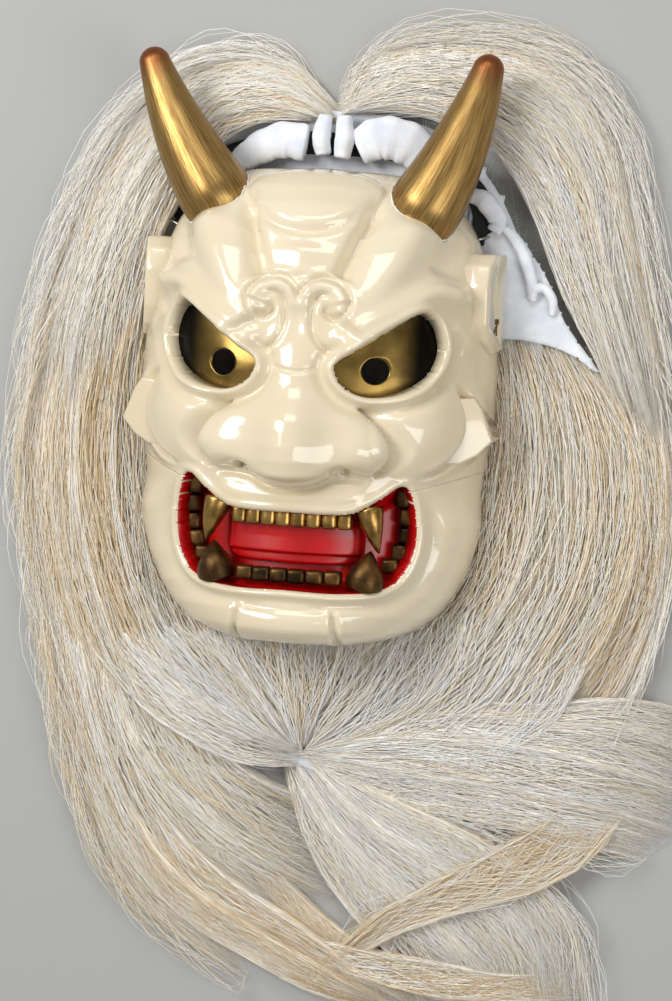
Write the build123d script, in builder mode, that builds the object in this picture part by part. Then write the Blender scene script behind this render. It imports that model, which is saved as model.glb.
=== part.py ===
"""A demon dance mask with its long-haired wig, lying on its back.

The mask looks up, along +Z. Its forehead is towards +Y and its own left cheek towards +X, and
the wig is spread out under it. The origin is on the surface that the wig lies on, under the
middle of the face.

The face is a hollow carved shell. Its outside is one curve turned about an axis that runs along
Y, a little behind the back rim. Everything that touches the shell, such as the brass eyes, the
teeth and the lining of the mouth, is placed from that same curve drawn in by a depth, so it
follows the face when the face changes size.
"""

import os
from math import cos, hypot, radians, sin, sqrt

from build123d import *

# ---------------------------------------------------------------- driving dimensions, mm
# Face shell
FACE_LENGTH = 212.0  # top of the forehead to the bottom of the chin
FACE_RADIUS = 81.0  # from the turning axis to the outside, at the widest place
AXIS_SINK = 20.0  # how far the turning axis lies behind the back rim
WALL = 5.0  # thickness of the carved shell
NOSE_HEIGHT = 76.0  # tip of the nose above the back rim

# Wig, from the floor up
BACK_HAIR = 8.0  # hair flattened under the head
CLOTH = 1.2  # cotton of the cap and of the bib
BIB_HAIR = 7.4  # hair on the bib, under the chin
CROWN_HAIR = 23.0  # height of the rolls of hair round the top of the head
SIDE_HAIR = 20.0  # height of the hair beside the cheeks
LOOSE_HAIR = 12.0  # height of the locks that trail away

# Horns
HORN_LENGTH = 66.0
HORN_BASE_RADIUS = 16.5
HORN_TIP_RADIUS = 6.8
HORN_TENON_RADIUS = 6.0
HORN_TENON_LENGTH = 13.0

# Eyes
PUPIL_SPACING = 65.0  # between the wearer's two sight holes
PUPIL_RADIUS = 5.8
EYE_PLATE = 0.8  # brass sheet
EYE_LAP = 3.5  # how far a plate reaches past its opening

# Mouth
MOUTH_HALF_WIDTH = 52.5
MOUTH_HEIGHT = 32.0  # from the edge of the upper lip to the edge of the lower one
UPPER_TEETH, LOWER_TEETH = 8, 6
TOOTH_WIDTH = 6.5
TOOTH_DEPTH = 4.4
TOOTH_HEIGHT = 9.0
FANG_RADIUS = 4.6
FANG_LENGTH = 17.0
LINING = 2.0  # thickness of the tray that closes the mouth
LINING_DEPTH = 14.0  # depth of that tray behind the inside of the shell

# Strap, rings and holes
STRAP_WIDTH = 10.0
STRAP = 1.0
RING_RADIUS = 4.5  # to the middle of the wire
WIRE_RADIUS = 0.6
RING_HOLE_RADIUS = 1.9
RING_HOLE_INSET = 2.9  # from the back rim
CORD_HOLE_RADIUS = 3.0
DOWEL_RADIUS = 1.5
DOWEL_LENGTH = 14.0

# Clearances
FIT = 0.05  # between glued or seated pieces
SOFT_GAP = 0.4  # between cloth, hair and what they lie against

# ---------------------------------------------------------------- sizes that follow
CAP_Z = BACK_HAIR
BIB_Z = CAP_Z + CLOTH
BIB_HAIR_Z = BIB_Z + CLOTH
RIM_Z = BIB_HAIR_Z + BIB_HAIR + 0.2  # the mask's back rim
AXIS_Z = RIM_Z - AXIS_SINK
HALF = FACE_LENGTH / 2
UNIT_Y = HALF / 106.0  # places on the face grow with its length
UNIT_X = FACE_RADIUS / 81.0  # and with its width
ABOVE = RIM_Z + NOSE_HEIGHT + 30  # clear of everything

# The outside of the face, from the forehead down: (share of half the length, share of the radius)
PROFILE = [
    (0.985, 0.42),
    (0.94, 0.67),
    (0.84, 0.85),
    (0.66, 0.92),
    (0.35, 0.985),
    (0.0, 1.0),
    (-0.25, 0.965),
    (-0.52, 0.905),
    (-0.71, 0.825),
    (-0.86, 0.69),
    (-0.955, 0.47),
]

# Opening of the left eye: a slanting upper lid and a round lower one
EYE = [
    (16.5, 24.0),
    (26.0, 31.5),
    (38.0, 41.0),
    (49.0, 47.5),
    (56.5, 42.0),
    (58.5, 30.5),
    (53.0, 19.5),
    (42.0, 13.0),
    (30.0, 11.8),
    (20.5, 16.0),
]
PUPIL_Y = 23.0
LIP_Y = -38.5  # lower edge of the upper lip, in the middle
CORNER_Y = -27.0  # corners of the mouth
SEAM_RIM_Y = -18.0  # where the jaw's seam leaves the cheek at the back rim
SEAM_KNEE = (60.0, -24.0)


def on_face(x, y):
    """A place given for the standard face, moved to this one's length and width."""
    return (x * UNIT_X, y * UNIT_Y)


def on_plan(points):
    """An outline given for the standard face, moved to this one's length and width."""
    return [on_face(x, y) for x, y in points]


def face_radius(y, inset=0.0):
    """Distance of the shell from its turning axis at height y, between the profile's points."""
    share = y / HALF
    table = [(1.0, 0.0), *PROFILE, (-1.0, 0.0)]
    for (high, r_high), (low, r_low) in zip(table, table[1:]):
        if low <= share <= high:
            mix = (share - low) / (high - low)
            return FACE_RADIUS * (r_low + mix * (r_high - r_low)) - inset
    return 0.0


def dome(inset):
    """The solid behind the face's outside, drawn in by inset and cut off at the back rim."""
    end = HALF - inset
    rim = [(share_r * FACE_RADIUS - inset, share_y * end) for share_y, share_r in PROFILE]
    with BuildPart() as body:
        with BuildSketch(Plane.XY.offset(AXIS_Z)):
            with BuildLine():
                Spline((0, end), *rim, (0, -end), tangents=((1, 0), (-1, 0)))
                Line((0, -end), (0, end))
            make_face()
        revolve(axis=Axis((0, 0, AXIS_Z), (0, 1, 0)))
        split(bisect_by=Plane.XY.offset(RIM_Z), keep=Keep.TOP)
    return body.part


def spot(x, y, inset=0.0):
    """The point of the dome drawn in by inset that lies over (x, y)."""
    r = face_radius(y, inset)
    return Vector(x, y, AXIS_Z + sqrt(max(r * r - x * x, 0.0)))


def grown(points, grow):
    """An outline given clockwise, each point moved outwards by grow."""
    moved = []
    for before, here, after in zip(points[-1:] + points[:-1], points, points[1:] + points[:1]):
        run_x, run_y = after[0] - before[0], after[1] - before[1]
        reach = hypot(run_x, run_y)
        moved.append((here[0] - grow * run_y / reach, here[1] + grow * run_x / reach))
    return moved


def prism(points, side=1, grow=0.0, low=RIM_Z - 1, high=ABOVE):
    """A closed smooth outline given clockwise, grown, mirrored for side -1, from low to high."""
    with BuildPart() as block:
        with BuildSketch(Plane.XY.offset(low)):
            with BuildLine():
                Spline([(side * x, y) for x, y in grown(points, grow)], periodic=True)
            make_face()
        extrude(amount=high - low)
    return block.part


def slab(points, low, high, hollow=None, grow=0.0):
    """A straight-sided outline, grown, from low to high, less the solid called hollow."""
    with BuildPart() as block:
        with BuildSketch(Plane.XY.offset(low)):
            Polygon(*points, align=None)
            if grow:
                offset(amount=grow)
        extrude(amount=high - low)
        if hollow is not None:
            add(hollow, mode=Mode.SUBTRACT)
    return block.part


def biggest(part, name):
    """The main solid of a cut part, under its name."""
    body = max(part.solids(), key=lambda solid: solid.volume)
    body.label = name
    return body


def layer(outer, inner):
    """The part of the head between two depths behind the face."""
    with BuildPart() as skin:
        add(dome(outer))
        add(dome(inner), mode=Mode.SUBTRACT)
    return skin.part


LIP_HERE = LIP_Y * UNIT_Y
MOUTH_LOW = LIP_HERE - MOUTH_HEIGHT
MOUTH_RIGHT_HALF = [
    (0.0, LIP_HERE),
    (0.5 * MOUTH_HALF_WIDTH, LIP_HERE),
    (0.88 * MOUTH_HALF_WIDTH, CORNER_Y * UNIT_Y),
    (MOUTH_HALF_WIDTH, LIP_HERE - 0.15 * MOUTH_HEIGHT),
    (0.96 * MOUTH_HALF_WIDTH, LIP_HERE - 0.55 * MOUTH_HEIGHT),
    (0.74 * MOUTH_HALF_WIDTH, MOUTH_LOW + 0.07 * MOUTH_HEIGHT),
    (0.0, MOUTH_LOW),
]
MOUTH = MOUTH_RIGHT_HALF + [(-x, y) for x, y in reversed(MOUTH_RIGHT_HALF[1:-1])]
EYE_HERE = on_plan(EYE)
OUTSIDE = dome(0)
INSIDE = dome(WALL)


def jaw_block():
    """All that lies below the jaw's seam. The seam's middle runs across the open mouth."""
    knee_x, knee_y = on_face(*SEAM_KNEE)
    edge_x, edge_y = FACE_RADIUS + 30, SEAM_RIM_Y * UNIT_Y
    corner_x, corner_y = 0.94 * MOUTH_HALF_WIDTH, CORNER_Y * UNIT_Y
    middle_y = LIP_HERE - 0.3 * MOUTH_HEIGHT
    path = [(edge_x, edge_y), (knee_x, knee_y), (corner_x, corner_y), (0.8 * corner_x, middle_y)]
    path = path + [(-x, y) for x, y in reversed(path)]
    path = path + [(-edge_x, -HALF - 30), (edge_x, -HALF - 30)]
    return slab(path, RIM_Z - 1, ABOVE)


# ---------------------------------------------------------------- horns
HORN_ROOT = Vector(46.5 * UNIT_X, 97.0 * UNIT_Y, RIM_Z + 22.0)
HORN_LEAN = 57.0  # degrees from the X axis, at the root
HORN_BEND = 16.0  # degrees by which the horn turns upright towards its tip
HORN_SUNK = 22.0  # the horn is made this much too long, then scribed to the forehead
HORN_STEPS = 5


def horn_stations(side):
    """Points, directions and radii along the horn's bent middle line, from the inside out."""
    here = Vector(side * HORN_ROOT.X, HORN_ROOT.Y, HORN_ROOT.Z)
    lean = radians(HORN_LEAN)
    start = Vector(side * cos(lean), sin(lean), 0)
    stations = [(here - start * HORN_SUNK, start, HORN_BASE_RADIUS)]
    run = HORN_LENGTH - HORN_TIP_RADIUS
    for step in range(HORN_STEPS + 1):
        share = step / HORN_STEPS
        turn = lean + radians(HORN_BEND) * share
        way = Vector(side * cos(turn), sin(turn), 0)
        radius = HORN_BASE_RADIUS + (HORN_TIP_RADIUS - HORN_BASE_RADIUS) * share**1.15
        if step:
            here = here + way * (run / HORN_STEPS)
        stations.append((here, way, radius))
    return stations


def horn_tenon(side, clearance=0.0):
    """The round peg on a horn's foot, and with clearance the hole that takes it."""
    root, way, _ = horn_stations(side)[1]
    foot = root - way * (HORN_TENON_LENGTH + clearance)
    with BuildPart() as peg:
        with BuildSketch(Plane(origin=foot, z_dir=way)):
            Circle(HORN_TENON_RADIUS + clearance)
        extrude(amount=HORN_TENON_LENGTH + 10)
    return peg.part


def make_horn(side, name):
    """A tapering round horn along a bent line, with a round tip and a peg on its foot."""
    stations = horn_stations(side)
    with BuildPart() as horn:
        for point, way, radius in stations:
            with BuildSketch(Plane(origin=point, z_dir=way)):
                Circle(radius)
        loft()
        with Locations(stations[-1][0]):
            Sphere(HORN_TIP_RADIUS)
        add(OUTSIDE, mode=Mode.SUBTRACT)
        with Locations((0, 0, RIM_Z / 2)):
            Box(4 * FACE_RADIUS, 4 * FACE_RADIUS, RIM_Z, mode=Mode.SUBTRACT)
        split(bisect_by=Plane(origin=stations[1][0] - stations[1][1] * HORN_TENON_LENGTH,
                              z_dir=stations[1][1]), keep=Keep.TOP)
        add(horn_tenon(side))
    return biggest(horn.part, name)


# ---------------------------------------------------------------- the two carved shells
EAR_TOP, EAR_BOTTOM = 74.0, 32.0
EAR_DEPTH = 22.0
EAR_REAR_X, EAR_FRONT_X = 80.0, 74.0
EAR_ROOT_X = 60.0
CORD_HOLE_Y = 42.0
CORD_HOLE_Z = RIM_Z + 10.0


def ear_block(side):
    """An ear: a slab whose flat outer face leans inwards towards the front."""
    height = (EAR_TOP - EAR_BOTTOM) * UNIT_Y
    middle = (EAR_TOP + EAR_BOTTOM) / 2 * UNIT_Y
    with BuildPart() as ear:
        for z, outer_x in ((RIM_Z, EAR_REAR_X), (RIM_Z + EAR_DEPTH, EAR_FRONT_X)):
            width = (outer_x - EAR_ROOT_X) * UNIT_X
            with BuildSketch(Plane.XY.offset(z)):
                with Locations((side * (EAR_ROOT_X * UNIT_X + width / 2), middle)):
                    Rectangle(width, height)
        loft(ruled=True)
    return ear.part


def cord_hole(side):
    """The hole through an ear for the cord that ties the mask on."""
    with BuildPart() as hole:
        with BuildSketch(Plane(origin=(0, CORD_HOLE_Y * UNIT_Y, CORD_HOLE_Z), z_dir=(side, 0, 0))):
            Circle(CORD_HOLE_RADIUS)
        extrude(amount=FACE_RADIUS + 30)
    return hole.part


RING_SEAT_Y = 80.0 * UNIT_Y
RING_WALL = 2.4  # the wall is carved down to this behind a ring
RING_RECESS_RADIUS = 4.5


SLOPE_STEP = 3.0  # the wall's slope is taken over twice this length


def ring_place(side):
    """Where a ring's hole crosses the middle of the wall, and the way out through the wall."""
    radius = face_radius(RING_SEAT_Y, RING_WALL / 2)
    height = AXIS_SINK + RING_HOLE_INSET
    x = sqrt(radius**2 - height**2)
    fall = face_radius(RING_SEAT_Y - SLOPE_STEP) - face_radius(RING_SEAT_Y + SLOPE_STEP)
    slope = fall / (2 * SLOPE_STEP)
    way = Vector(side, slope, 0).normalized()
    return Vector(side * x, RING_SEAT_Y, RIM_Z + RING_HOLE_INSET), way


def ring_hole(side):
    """The hole that a ring hangs in, and the recess behind it that makes room for the wire."""
    place, way = ring_place(side)
    with BuildPart() as hole:
        with BuildSketch(Plane(origin=place - way * 9, z_dir=way)):
            Circle(RING_HOLE_RADIUS)
        extrude(amount=18)
        with BuildSketch(Plane(origin=place - way * 12, z_dir=way)):
            Circle(RING_RECESS_RADIUS)
        extrude(amount=12 - RING_WALL / 2)
    return hole.part


def dowel(side, clearance=0.0):
    """A peg that crosses the jaw's seam in the middle of the wall."""
    knee_x, knee_y = on_face(*SEAM_KNEE)
    x = knee_x + 4.0
    run_x = FACE_RADIUS + 30 - knee_x
    y = knee_y + 4.0 * (SEAM_RIM_Y * UNIT_Y - knee_y) / run_x
    middle = spot(side * x, y, WALL / 2)
    length = DOWEL_LENGTH + 2 * clearance
    with BuildPart() as peg:
        with BuildSketch(Plane(origin=middle - Vector(0, length / 2, 0), z_dir=(0, 1, 0))):
            Circle(DOWEL_RADIUS + clearance)
        extrude(amount=length)
    return peg.part


def bar(low, low_radius, high, high_radius):
    """A round bar with round ends between two points."""
    way = (high - low).normalized()
    with BuildPart() as rod:
        with Locations(low):
            Sphere(low_radius)
        with Locations(high):
            Sphere(high_radius)
        with BuildSketch(Plane(origin=low, z_dir=way)):
            Circle(low_radius)
        with BuildSketch(Plane(origin=high, z_dir=way)):
            Circle(high_radius)
        loft()
    return rod.part


def brow(side):
    """A swelling from the temple down to the bridge of the nose, over the eye."""
    x, y = on_face(46.0, 60.0)
    temple = spot(side * x, y, 8.0)
    bridge = spot(side * 12 * UNIT_X, 40 * UNIT_Y, 10.0)
    return bar(temple, 11.0, bridge, 12.0)


def nose():
    """A broad nose: a swelling spindle that leans forward, and a round wing on each side."""
    ball_radius = 17.0
    ball = Vector(0, -10 * UNIT_Y, RIM_Z + NOSE_HEIGHT - ball_radius)
    bridge = spot(0, 34 * UNIT_Y, 8.0)
    with BuildPart() as lump:
        add(bar(bridge, 9.0, ball, ball_radius))
        for side in (-1, 1):
            x, y = on_face(25.0, -8.0)
            with Locations(spot(side * x, y, 5.0)):
                Sphere(14.0)
    return lump.part


def cheek(side):
    """A round cheek."""
    x, y = on_face(56.0, -4.0)
    with BuildPart() as ball:
        with Locations(spot(side * x, y, 13.0)):
            Sphere(16.0)
    return ball.part


def chin():
    """The chin: a round bar across the bottom of the jaw."""
    half_length, radius = 26.0 * UNIT_X, 19.0
    y, z = -HALF + radius + 1.0, RIM_Z + 44.0
    return bar(Vector(-half_length, y, z), radius, Vector(half_length, y, z), radius)


def make_face_shell():
    """Forehead, eyes, nose, cheeks, ears and upper lip: the upper of the two carved shells."""
    with BuildPart() as shell:
        add(OUTSIDE)
        add(nose())
        for side in (-1, 1):
            add(brow(side))
            add(cheek(side))
            add(ear_block(side))
        add(INSIDE, mode=Mode.SUBTRACT)
        add(jaw_block(), mode=Mode.SUBTRACT)
        add(prism(MOUTH), mode=Mode.SUBTRACT)
        for side in (-1, 1):
            add(prism(EYE_HERE, side), mode=Mode.SUBTRACT)
            add(cord_hole(side), mode=Mode.SUBTRACT)
            add(ring_hole(side), mode=Mode.SUBTRACT)
            add(horn_tenon(side, FIT), mode=Mode.SUBTRACT)
            add(dowel(side, FIT), mode=Mode.SUBTRACT)
    return biggest(shell.part, "face_shell")


def make_jaw_shell():
    """Lower lip, chin and the two sides of the jaw: the lower carved shell."""
    with BuildPart() as boss:
        add(chin())
        add(INSIDE, mode=Mode.SUBTRACT)
        add(prism(MOUTH), mode=Mode.SUBTRACT)
    with BuildPart() as shell:
        add(OUTSIDE)
        add(jaw_block(), mode=Mode.INTERSECT)
        add(INSIDE, mode=Mode.SUBTRACT)
        add(prism(MOUTH), mode=Mode.SUBTRACT)
        for side in (-1, 1):
            add(dowel(side, FIT), mode=Mode.SUBTRACT)
        add(boss.part)
    return biggest(shell.part, "jaw_shell")


# ---------------------------------------------------------------- eyes and mouth
def sight_line(side):
    """Where a sight hole crosses its brass plate, and the way out, square to the plate."""
    inset = WALL + FIT + EYE_PLATE / 2
    place = spot(side * PUPIL_SPACING / 2, PUPIL_Y * UNIT_Y, inset)
    radius = face_radius(place.Y, inset)
    slope = (face_radius(place.Y + SLOPE_STEP) - face_radius(place.Y - SLOPE_STEP)) / (2 * SLOPE_STEP)
    return place, Vector(place.X / radius, -slope, (place.Z - AXIS_Z) / radius).normalized()


def make_eye_plate(side, name):
    """A curved brass plate behind an eye opening, with the wearer's sight hole."""
    place, way = sight_line(side)
    drill_length = 4 * PUPIL_RADIUS
    with BuildPart() as plate:
        add(layer(WALL + FIT, WALL + FIT + EYE_PLATE))
        add(prism(EYE_HERE, side, grow=EYE_LAP), mode=Mode.INTERSECT)
        with BuildSketch(Plane(origin=place - way * drill_length / 2, z_dir=way)):
            Circle(PUPIL_RADIUS)
        extrude(amount=drill_length, mode=Mode.SUBTRACT)
    return biggest(plate.part, name)


TRAY_GROW = 6.0  # how far the tray's wall stands outside the opening of the mouth
TRAY_CORNER = 10.0
TRAY_TOP = WALL + FIT
TRAY_FLOOR = TRAY_TOP + LINING_DEPTH - LINING


def tray_block(grow):
    """A round-cornered block over the open mouth, grown past it on every side."""
    high, low = CORNER_Y * UNIT_Y + grow, MOUTH_LOW - grow
    with BuildPart() as block:
        with BuildSketch(Plane.XY.offset(RIM_Z - 1)):
            with Locations((0, (high + low) / 2)):
                RectangleRounded(2 * (MOUTH_HALF_WIDTH + grow), high - low, TRAY_CORNER + grow)
        extrude(amount=ABOVE)
    return block.part


def make_mouth_lining():
    """A tray behind the lips. It closes the mouth, and teeth and tongue sit in it."""
    with BuildPart() as room:
        add(layer(0, TRAY_FLOOR))
        add(tray_block(TRAY_GROW - LINING), mode=Mode.INTERSECT)
    with BuildPart() as tray:
        add(layer(TRAY_TOP, TRAY_TOP + LINING_DEPTH))
        add(tray_block(TRAY_GROW), mode=Mode.INTERSECT)
        add(room.part, mode=Mode.SUBTRACT)
    return biggest(tray.part, "mouth_lining")


# Depths behind the face at which the teeth and the tongue stand on the tray's floor
TOOTH_FRONT = WALL + 2.0
TOOTH_BACK = TRAY_FLOOR - FIT
UPPER_ROW_Y = LIP_HERE - 2.0
LOWER_ROW_Y = MOUTH_LOW + 3.0
FANG_SHIFT = 3.0  # a fang leans outwards by this much
UPPER_FANG_X, UPPER_FANG_Y = 35.0, -33.0
LOWER_FANG_X, LOWER_FANG_Y = 32.0, -68.5
TONGUE_HALF_WIDTH = 29.0


def on_tray(front, sketches, back=TOOTH_BACK):
    """Flat shapes, cut from the head between two depths, the second near the tray's floor."""
    with BuildPart() as piece:
        for x, y, width, height, corner in sketches:
            with BuildSketch(Plane.XY.offset(RIM_Z)):
                with Locations((x, y)):
                    RectangleRounded(width, height, corner)
            extrude(amount=NOSE_HEIGHT)
        add(layer(front, back), mode=Mode.INTERSECT)
    return piece.part


def make_tooth_row(count, y, name):
    """Square teeth side by side on the curve of the face, joined by a strip behind them."""
    height = TOOTH_HEIGHT * UNIT_Y
    places = [TOOTH_WIDTH * (k - (count - 1) / 2) for k in range(count)]
    with BuildPart() as row:
        add(on_tray(TOOTH_FRONT, [(x, y, TOOTH_WIDTH - 0.4, height, 1.2) for x in places]))
        strip = [(0, y, count * TOOTH_WIDTH - 1, height - 1, 1.0)]
        add(on_tray(TOOTH_FRONT + TOOTH_DEPTH, strip, TOOTH_BACK - 1.0))
    return biggest(row.part, name)


def make_fang(x, y, up, name):
    """A round pointed tooth on a peg. up is 1 for a lower fang and -1 for an upper one."""
    depth = TOOTH_FRONT + FANG_RADIUS
    root = spot(x, y, depth)
    tip_x = x + (FANG_SHIFT if x > 0 else -FANG_SHIFT)
    tip = spot(tip_x, y + up * FANG_LENGTH, depth - 1.5)
    way = (tip - root).normalized()
    with BuildPart() as peg:
        with BuildSketch(Plane.XY.offset(RIM_Z)):
            with Locations((x, y)):
                Circle(0.75 * FANG_RADIUS)
        extrude(amount=NOSE_HEIGHT)
        add(layer(depth, TOOTH_BACK), mode=Mode.INTERSECT)
    with BuildPart() as fang:
        for share, radius in ((0.0, FANG_RADIUS), (0.55, 0.7 * FANG_RADIUS), (1.0, 0.8)):
            with BuildSketch(Plane(origin=root + (tip - root) * share, z_dir=way)):
                Circle(radius)
        loft()
        add(peg.part)
    return biggest(fang.part, name)


def make_molars(side, name):
    """Two back teeth at a corner of the mouth, joined by the strip behind them."""
    x = side * (MOUTH_HALF_WIDTH - 6.0)
    high, low = CORNER_Y * UNIT_Y - 8.5, CORNER_Y * UNIT_Y - 20.0
    with BuildPart() as block:
        add(on_tray(WALL + 3.0, [(x, high, 6.4, 10.6, 1.5), (x, low, 6.4, 10.6, 1.5)]))
        add(on_tray(WALL + 8.0, [(x, (high + low) / 2, 5.4, 20.0, 1.0)], TOOTH_BACK - 1.0))
    return biggest(block.part, name)


def make_tongue():
    """The tongue, lying across the floor of the tray."""
    high = UPPER_ROW_Y - TOOTH_HEIGHT * UNIT_Y / 2 - 1.0
    low = LOWER_ROW_Y + TOOTH_HEIGHT * UNIT_Y / 2 + 1.0
    middle, height = (high + low) / 2, high - low
    tongue = on_tray(TOOTH_FRONT + 3.0, [(0, middle, 2 * TONGUE_HALF_WIDTH, height, 5.0)])
    return biggest(tongue, "tongue")


# ---------------------------------------------------------------- rings and strap
EYELET_WIDTH = 3.6  # across the strap
EYELET_WALL = 0.6
EYELET_ROOM = (5.4, 2.2)  # inside, along the strap and high
EYELET_LIFT = 0.3  # the fold's middle lies this much over the ring's lowest wire
RING_LOW_Z = RIM_Z + RING_HOLE_INSET - 2 * RING_RADIUS  # the ring's lowest wire
STRAP_Z = RING_LOW_Z - STRAP / 2
STRAP_PATH = [(67.5, 92.0), (58.0, 105.0), (30.0, 116.5), (0.0, 118.5)]


def make_ring(side, name):
    """A wire ring that hangs in its hole and holds one end of the strap."""
    place, way = ring_place(side)
    across = way.cross(Vector(0, 0, 1)).normalized()
    with BuildPart() as ring:
        with Locations(Plane(origin=place - Vector(0, 0, RING_RADIUS), x_dir=way, z_dir=across)):
            Torus(RING_RADIUS, WIRE_RADIUS)
    return biggest(ring.part, name)


def strap_start(side):
    """Where the strap leaves a ring, and the direction it leaves in."""
    place, way = ring_place(side)
    along = Vector(0, 0, 1).cross(way) * side
    return place, way, along


def strap_band(width, low, high):
    """A flat band along the strap's path round the top of the head."""
    place, _, along = strap_start(1)
    start = place + along * (EYELET_ROOM[0] / 2 + EYELET_WALL / 2)
    half = [(start.X, start.Y)] + [on_face(x, y) for x, y in STRAP_PATH]
    path = half + [(-x, y) for x, y in reversed(half[:-1])]
    with BuildPart() as band:
        with BuildSketch(Plane.XY.offset(low)):
            with BuildLine():
                Spline(*path)
            trace(line_width=width)
        extrude(amount=high - low)
    return band.part


def eyelet_block(side, width, wall):
    """A block round the wire of a ring, wall thicker than its room on each side."""
    place, _, along = strap_start(side)
    length, height = EYELET_ROOM
    low = Vector(place.X, place.Y, RING_LOW_Z + EYELET_LIFT)
    with BuildPart() as block:
        with Locations(Plane(origin=low, x_dir=along, z_dir=(0, 0, 1))):
            Box(length + 2 * wall, width, height + 2 * wall)
    return block.part


def make_strap():
    """The black elastic strap. Each end is sewn into a small fold that a ring runs through."""
    with BuildPart() as strap:
        add(strap_band(STRAP_WIDTH, STRAP_Z, STRAP_Z + STRAP))
        for side in (-1, 1):
            room = eyelet_block(side, STRAP_WIDTH + 4, 0)
            add(room, mode=Mode.SUBTRACT)
            add(eyelet_block(side, EYELET_WIDTH, EYELET_WALL))
            add(room, mode=Mode.SUBTRACT)
    return biggest(strap.part, "head_strap")


# ---------------------------------------------------------------- cap and cloth, in plan
CAP_RIGHT_HALF = [(0.0, 134.5), (42.0, 130.5), (68.0, 113.0), (86.0, 84.0), (98.0, 45.0), (101.0, 0.0),
                  (97.0, -50.0), (80.0, -94.0), (45.0, -122.0), (0.0, -131.0)]
CAP_PLAN = CAP_RIGHT_HALF + [(-x, y) for x, y in reversed(CAP_RIGHT_HALF[1:-1])]
FOLD_LOW = CAP_Z + CLOTH + SOFT_GAP
FOLD_HIGH = RIM_Z - SOFT_GAP  # folds that reach under the mask stay behind its rim
STRAP_TUNNEL = strap_band(STRAP_WIDTH + 2 * SOFT_GAP, STRAP_Z - SOFT_GAP, STRAP_Z + STRAP + SOFT_GAP)


def cap_block(low, high, grow=0.0):
    """The plan of the cap, moved outwards by grow, from low to high."""
    return prism(on_plan(CAP_PLAN), grow=grow, low=low, high=high)


def rim_plan(inset, low, high):
    """The outline of the mask's back rim, drawn in by inset, from low to high."""
    section = dome(inset).faces().sort_by(Axis.Z)[0]
    with BuildPart() as block:
        with BuildSketch(Plane.XY.offset(low)):
            add(Face(section.outer_wire().moved(Location((0, 0, low - RIM_Z)))))
        extrude(amount=high - low)
    return block.part


def make_cap_back():
    """The cotton cap's back, and its low wall that reaches up to the rim of the mask."""
    with BuildPart() as cap:
        add(cap_block(CAP_Z, CAP_Z + CLOTH))
        add(rim_plan(0.6, CAP_Z + CLOTH, RIM_Z))
        add(rim_plan(0.6 + CLOTH, CAP_Z + CLOTH, RIM_Z), mode=Mode.SUBTRACT)
        with Locations((0, 86.0 * UNIT_Y, RIM_Z)):
            Box(4 * FACE_RADIUS, 26.0 * UNIT_Y, 2 * (RIM_Z - CAP_Z - CLOTH), mode=Mode.SUBTRACT)
    return biggest(cap.part, "cap_back")


CENTRE_LOOP = [(-9.0, 111.0), (10.0, 111.0), (10.0, 132.0), (-9.0, 132.0)]
LEFT_FOLD = [(11.0, 109.5), (35.0, 108.0), (44.0, 112.0), (40.0, 125.0), (11.0, 131.0)]
RIGHT_FOLD = [(-10.0, 109.5), (-34.0, 108.0), (-42.0, 112.0), (-38.0, 125.0), (-10.0, 131.0)]
TEMPLE_LOOP = [(60.5, 86.5), (74.5, 86.5), (74.5, 98.5), (60.5, 98.5)]
SIDE_STRIP = [(79.0, 84.0), (84.0, 86.0), (93.0, 67.0), (92.0, 61.0), (86.0, 61.0), (83.0, 70.0)]
SIDE_LOOP = [(91.0, 44.0), (102.0, 44.0), (102.0, 59.0), (91.0, 59.0)]
SIDE_PANEL = [(80.0, 54.0), (92.0, 51.5), (104.0, 42.5), (117.0, 29.5), (121.0, 22.0),
              (111.5, 26.0), (101.0, 33.0), (88.5, 36.5), (77.0, 38.0)]
SIDE_WINDOW = [(74.0, 90.0), (88.0, 90.0), (106.0, 62.0), (124.0, 30.0), (124.0, 19.0),
               (110.0, 22.0), (74.0, 34.0)]
BIB = [(-92.0, -112.0), (98.0, -112.0), (104.0, -150.0), (90.0, -176.0), (-80.0, -178.0),
       (-96.0, -150.0)]


def soft(points, low, high, name, hollow=None):
    """A plain piece of cloth or hair over a plan outline."""
    return biggest(slab(on_plan(points), low, high, hollow), name)


def make_side_loop():
    """A small padded loop, open along the edge of the cap."""
    middle_x, middle_y = on_face(96.5, 51.5)
    low, high = FOLD_LOW + CLOTH + SOFT_GAP, FOLD_HIGH
    with BuildPart() as tunnel:
        with Locations((middle_x, middle_y, (low + high) / 2)):
            Box(6.0, 30.0 * UNIT_Y, 3.2)
    return soft(SIDE_LOOP, low, high, "side_loop", tunnel.part)


# ---------------------------------------------------------------- hair, in plan
WIG_OUTLINE = [
    (0.0, 142.0), (-40.0, 152.0), (-75.0, 143.0), (-101.0, 110.0), (-119.0, 60.0), (-131.0, 10.0),
    (-135.0, -40.0), (-128.0, -90.0), (-114.0, -140.0), (-98.0, -172.0), (-82.0, -205.0),
    (-40.0, -232.0), (30.0, -248.0), (85.0, -250.0), (112.0, -225.0), (124.0, -190.0),
    (153.0, -165.0), (155.0, -125.0), (138.0, -95.0), (145.0, -50.0), (146.0, 0.0), (138.0, 45.0),
    (131.0, 85.0), (118.0, 125.0), (95.0, 150.0), (60.0, 164.0), (25.0, 154.0),
]
CROWN_LOW_Y = 30.0
SIDE_LOW_Y = -108.0
BIB_LOW_Y = -181.0
FAR = 400.0  # past the end of every lock


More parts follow.
